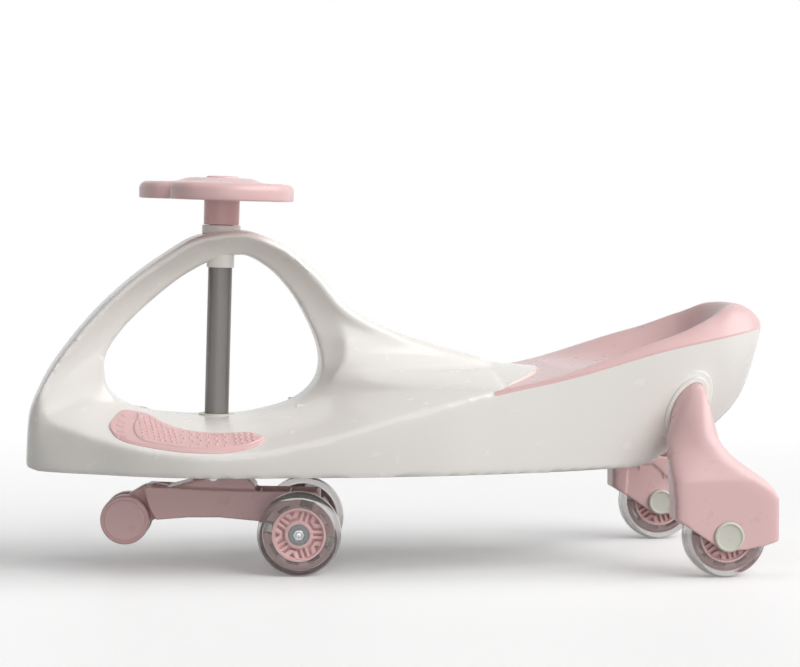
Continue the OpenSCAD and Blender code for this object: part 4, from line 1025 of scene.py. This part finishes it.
ROLLER = [
    (0, 8.2), (19.4, 8.5), (20.5, 8.45), (20.9, 8.1), (21.1, 7.4), (21.9, 7.25), (22.3, 7.5), (22.6, 7.95),
    (23.5, 7.9), (24.5, 7.4), (25.2, 6.5), (25.5, 5.4), (25.5, -5.5), (25.2, -6.8), (24.4, -7.8),
    (23.2, -8.4), (22, -8.5), (4.05, -8.5), (4.05, 5.5), (0, 5.5)]


class WIGGLE_CAR_OT_rollers(bpy.types.Operator):
    """Models the two anti-tip rollers with the groove in their faces"""

    bl_idname = "wiggle_car.rollers"
    bl_label = "Rollers"

    def execute(self, context):
        for sign, side in SIDES:
            disc = turned("nose_roller_" + side, ROLLER, on_spin("roller_%s_spin" % side, sign), 112, False)
            finish_piece(disc, side + "_roller", "pink_plastic", "roller_" + side, 28)
        return {"FINISHED"}


CORE_R, RIM_R, RIM_HALF, WHEEL_R, HALF_W = 27.53, 36.03, 8.03, 43.0, 12.0
SHOULDER_R, TREAD_HALF = 37, 3


def tyre_profile():
    """The clear tyre's section: round shoulders, and the groove that holds the core's rim."""
    q = np.linspace(0, math.pi / 2, 10)
    shoulder = [(SHOULDER_R + (WHEEL_R - SHOULDER_R) * math.sin(t),
                 TREAD_HALF + (HALF_W - TREAD_HALF) * math.cos(t)) for t in q]
    face = [(CORE_R, RIM_HALF), (CORE_R, HALF_W - 1.2), (CORE_R + 0.4, HALF_W - 0.5),
            (CORE_R + 1.2, HALF_W - 0.1), (33, HALF_W)]
    half = [(RIM_R, RIM_HALF)] + face + shoulder
    return half + [(r, -z) for r, z in reversed(half)]


# One bearing of a wheel: its races with the sunk shield between them
RACE = [
    (4.05, 2.5), (10.6, 2.5), (11, 2.9), (11, 9.1), (10.7, 9.5), (9.4, 9.5), (9.2, 9.35), (9.1, 8.9),
    (6.5, 8.9), (6.4, 9.35), (6.2, 9.5), (4.5, 9.5), (4.05, 9.1)]


class WIGGLE_CAR_OT_wheels(bpy.types.Operator):
    """Models the four running wheels: a clear tyre, a slotted core and two shielded bearings each"""

    bl_idname = "wiggle_car.wheels"
    bl_label = "Wheels"

    def execute(self, context):
        for end in ("front", "rear"):
            for sign, side in SIDES:
                name = "%s_%s" % (end, side)
                place, body = on_spin(name + "_spin", sign), name + "_wheel"
                tyre = turned(name + "_clear_tread", tyre_profile(), place, 144)
                finish_piece(tyre, body, "clear_tyre", name + "_tyre")
                core = eased(name + "_slotted_core", name + "_core", 0.4)
                finish_piece(core, body, "pink_plastic", name + "_core", look="core")
                races = join(turned(name + "_races", RACE, place),
                             turned("race", [(r, -z) for r, z in RACE], place))
                finish_piece(races, body, "steel", name + "_bearings", look="race")
        return {"FINISHED"}


# Frame nodes that show and get rounded edges: name of the piece, its body and the width of the rounding
EASED = {"upper_bush": ("arch_collar", "car_body", 0.9), "lower_bush": ("sill_collar", "car_body", 0.5),
         "front_nuts": ("axle_nuts", "steering", 0.5), "front_axle": ("axle_rod", "steering", 0.5)}


class WIGGLE_CAR_OT_fittings(bpy.types.Operator):
    """Gives the turned and fitted pieces their finishes, and rounds the edges of those that show"""

    bl_idname = "wiggle_car.fittings"
    bl_label = "Fittings"

    def execute(self, context):
        for part in frame["record"]["subparts"]:
            node, slot = part["node"], part["material_slot"]
            dress(NODES[node], SLOTS[slot])
            if node in EASED:
                name, body, width = EASED[node]
                finish_piece(eased(name, node, width), body, slot, node, 32)
        return {"FINISHED"}


FLOOR_SIZE = 40
FLOOR_FADE = 0.75, 1.6
FLOOR_BOUNCE, FLOOR_LIFT = 0.42, 0.14
# Soft lamps: height and turn in degrees, and share of the light
LAMPS = ((38, -48, 0.56), (38, 0, 0.37), (8, -90, 0.23), (68, 180, 0.08))
CAMERA_AT, CAMERA_DOWN, CAMERA_TURN, SENSOR = (-0.3715, -2.7173, 0.3974), 3.25, -7.82, 36


class WIGGLE_CAR_OT_stage(bpy.types.Operator):
    """Sets the pale floor, the soft lamps and the camera"""

    bl_idname = "wiggle_car.stage"
    bl_label = "Stage"

    def execute(self, context):
        props = context.scene.wiggle_car_stage
        deselect()
        bpy.ops.mesh.primitive_plane_add(size=FLOOR_SIZE, location=(0, 0, 0))
        floor = context.object
        floor.name = "floor"
        floor.data.materials.append(floor_finish())
        world = bpy.data.worlds.new("studio")
        context.scene.world = world
        world.use_nodes = True
        sky(world.node_tree, props.sky)
        for k, (height, turn, share) in enumerate(LAMPS):
            data = bpy.data.lights.new("lamp_%d" % (k + 1), "SUN")
            data.energy = math.pi * share * props.level
            data.angle = props.softness
            lamp = link(data.name, data)
            lamp.rotation_euler = (math.radians(90 - height), 0, math.radians(90 + turn))
        data = bpy.data.cameras.new("camera")
        data.lens = props.lens
        data.sensor_width = SENSOR
        camera = link("camera", data)
        camera.location = CAMERA_AT
        camera.rotation_euler = (math.radians(90 - CAMERA_DOWN), 0, math.radians(CAMERA_TURN))
        context.scene.camera = camera
        context.scene.view_settings.view_transform = "Standard"
        return {"FINISHED"}


def seen_or_mirrored(tree):
    """1 for what the camera sees, directly, in a gloss or through a clear piece."""
    path = add_node(tree, "LightPath").outputs
    value = path["Is Camera Ray"]
    for other in ("Is Glossy Ray", "Is Transmission Ray"):
        value = math_node(tree, "MAXIMUM", value, path[other])
    return value


def sky(tree, strength):
    """A little light from all round, seen as white."""
    light = tree.nodes["Background"]
    light.inputs["Color"].default_value = (1, 1, 1, 1)
    light.inputs["Strength"].default_value = strength
    white = add_node(tree, "Background", Color=(1, 1, 1, 1), Strength=1.0)
    both = add_node(tree, "MixShader", seen_or_mirrored(tree), light.outputs[0], white.outputs[0])
    tree.links.new(both.outputs[0], tree.nodes["World Output"].inputs["Surface"])


def floor_finish():
    """A pale floor that keeps the shadow, and is seen as white away from the car."""
    f = Finish("pale_floor")
    tree = f.tree
    pale = f.colour(f.noise(3, 2, 0, 1), (0.975, 0.975, 0.975), (0.985, 0.985, 0.985))
    seen = seen_or_mirrored(tree)
    f.colour(seen, (FLOOR_BOUNCE,) * 3, pale)
    f.wire(math_node(tree, "MULTIPLY", seen, FLOOR_LIFT), "Emission Strength")
    f.wire(f.noise(20, 3, 0.5, 0.6), "Roughness")
    f.bump(f.noise(300, 2), 0.02)
    f.set({"Emission Color": (1, 1, 1, 1), "Specular IOR Level": 0.2})
    far = add_node(tree, "VectorMath", f.where, settings={"operation": "LENGTH"})
    fade = add_node(tree, "MapRange", settings={"interpolation_type": "SMOOTHSTEP"},
                    Value=far.outputs["Value"], From_Min=FLOOR_FADE[0], From_Max=FLOOR_FADE[1])
    white = math_node(tree, "MULTIPLY", fade.outputs["Result"], seen)
    both = add_node(tree, "MixShader", white, f.bsdf.outputs[0], add_node(tree, "Emission").outputs[0])
    tree.links.new(both.outputs[0], tree.nodes["Material Output"].inputs["Surface"])
    return f.mat


class WIGGLE_CAR_PT_panel(bpy.types.Panel):
    """Lists the car's pieces, colours and sizes"""

    bl_idname = "WIGGLE_CAR_PT_panel"
    bl_label = "Wiggle Car"
    bl_space_type = "VIEW_3D"
    bl_region_type = "UI"
    bl_category = "Wiggle Car"

    def draw(self, context):
        for op in OPERATORS:
            self.layout.operator(op.bl_idname)
        for name, group in GROUPS.items():
            for key in group.__annotations__:
                self.layout.prop(getattr(context.scene, name), key)


GROUPS = {"wiggle_car_finish": WiggleCarFinish, "wiggle_car_sizes": WiggleCarSizes,
          "wiggle_car_stage": WiggleCarStage}
OPERATORS = (WIGGLE_CAR_OT_fittings, WIGGLE_CAR_OT_body, WIGGLE_CAR_OT_seat, WIGGLE_CAR_OT_pads,
             WIGGLE_CAR_OT_legs, WIGGLE_CAR_OT_caps, WIGGLE_CAR_OT_steering_wheel, WIGGLE_CAR_OT_truck,
             WIGGLE_CAR_OT_rollers, WIGGLE_CAR_OT_wheels, WIGGLE_CAR_OT_stage)


CLASSES = (*GROUPS.values(), *OPERATORS, WIGGLE_CAR_PT_panel)


def register():
    for cls in CLASSES:
        bpy.utils.register_class(cls)
    for name, cls in GROUPS.items():
        setattr(bpy.types.Scene, name, PointerProperty(type=cls))


def unregister():
    for name in GROUPS:
        delattr(bpy.types.Scene, name)
    for cls in reversed(CLASSES):
        bpy.utils.unregister_class(cls)


def main():
    """Makes the car and its stage."""
    register()
    bpy.ops.wiggle_car.fittings()
    bpy.ops.wiggle_car.body()
    bpy.ops.wiggle_car.seat()
    bpy.ops.wiggle_car.pads()
    bpy.ops.wiggle_car.legs()
    bpy.ops.wiggle_car.caps()
    bpy.ops.wiggle_car.steering_wheel()
    bpy.ops.wiggle_car.truck()
    bpy.ops.wiggle_car.rollers()
    bpy.ops.wiggle_car.wheels()
    bpy.ops.wiggle_car.stage()
    deselect()


if __name__ == "__main__":
    main()
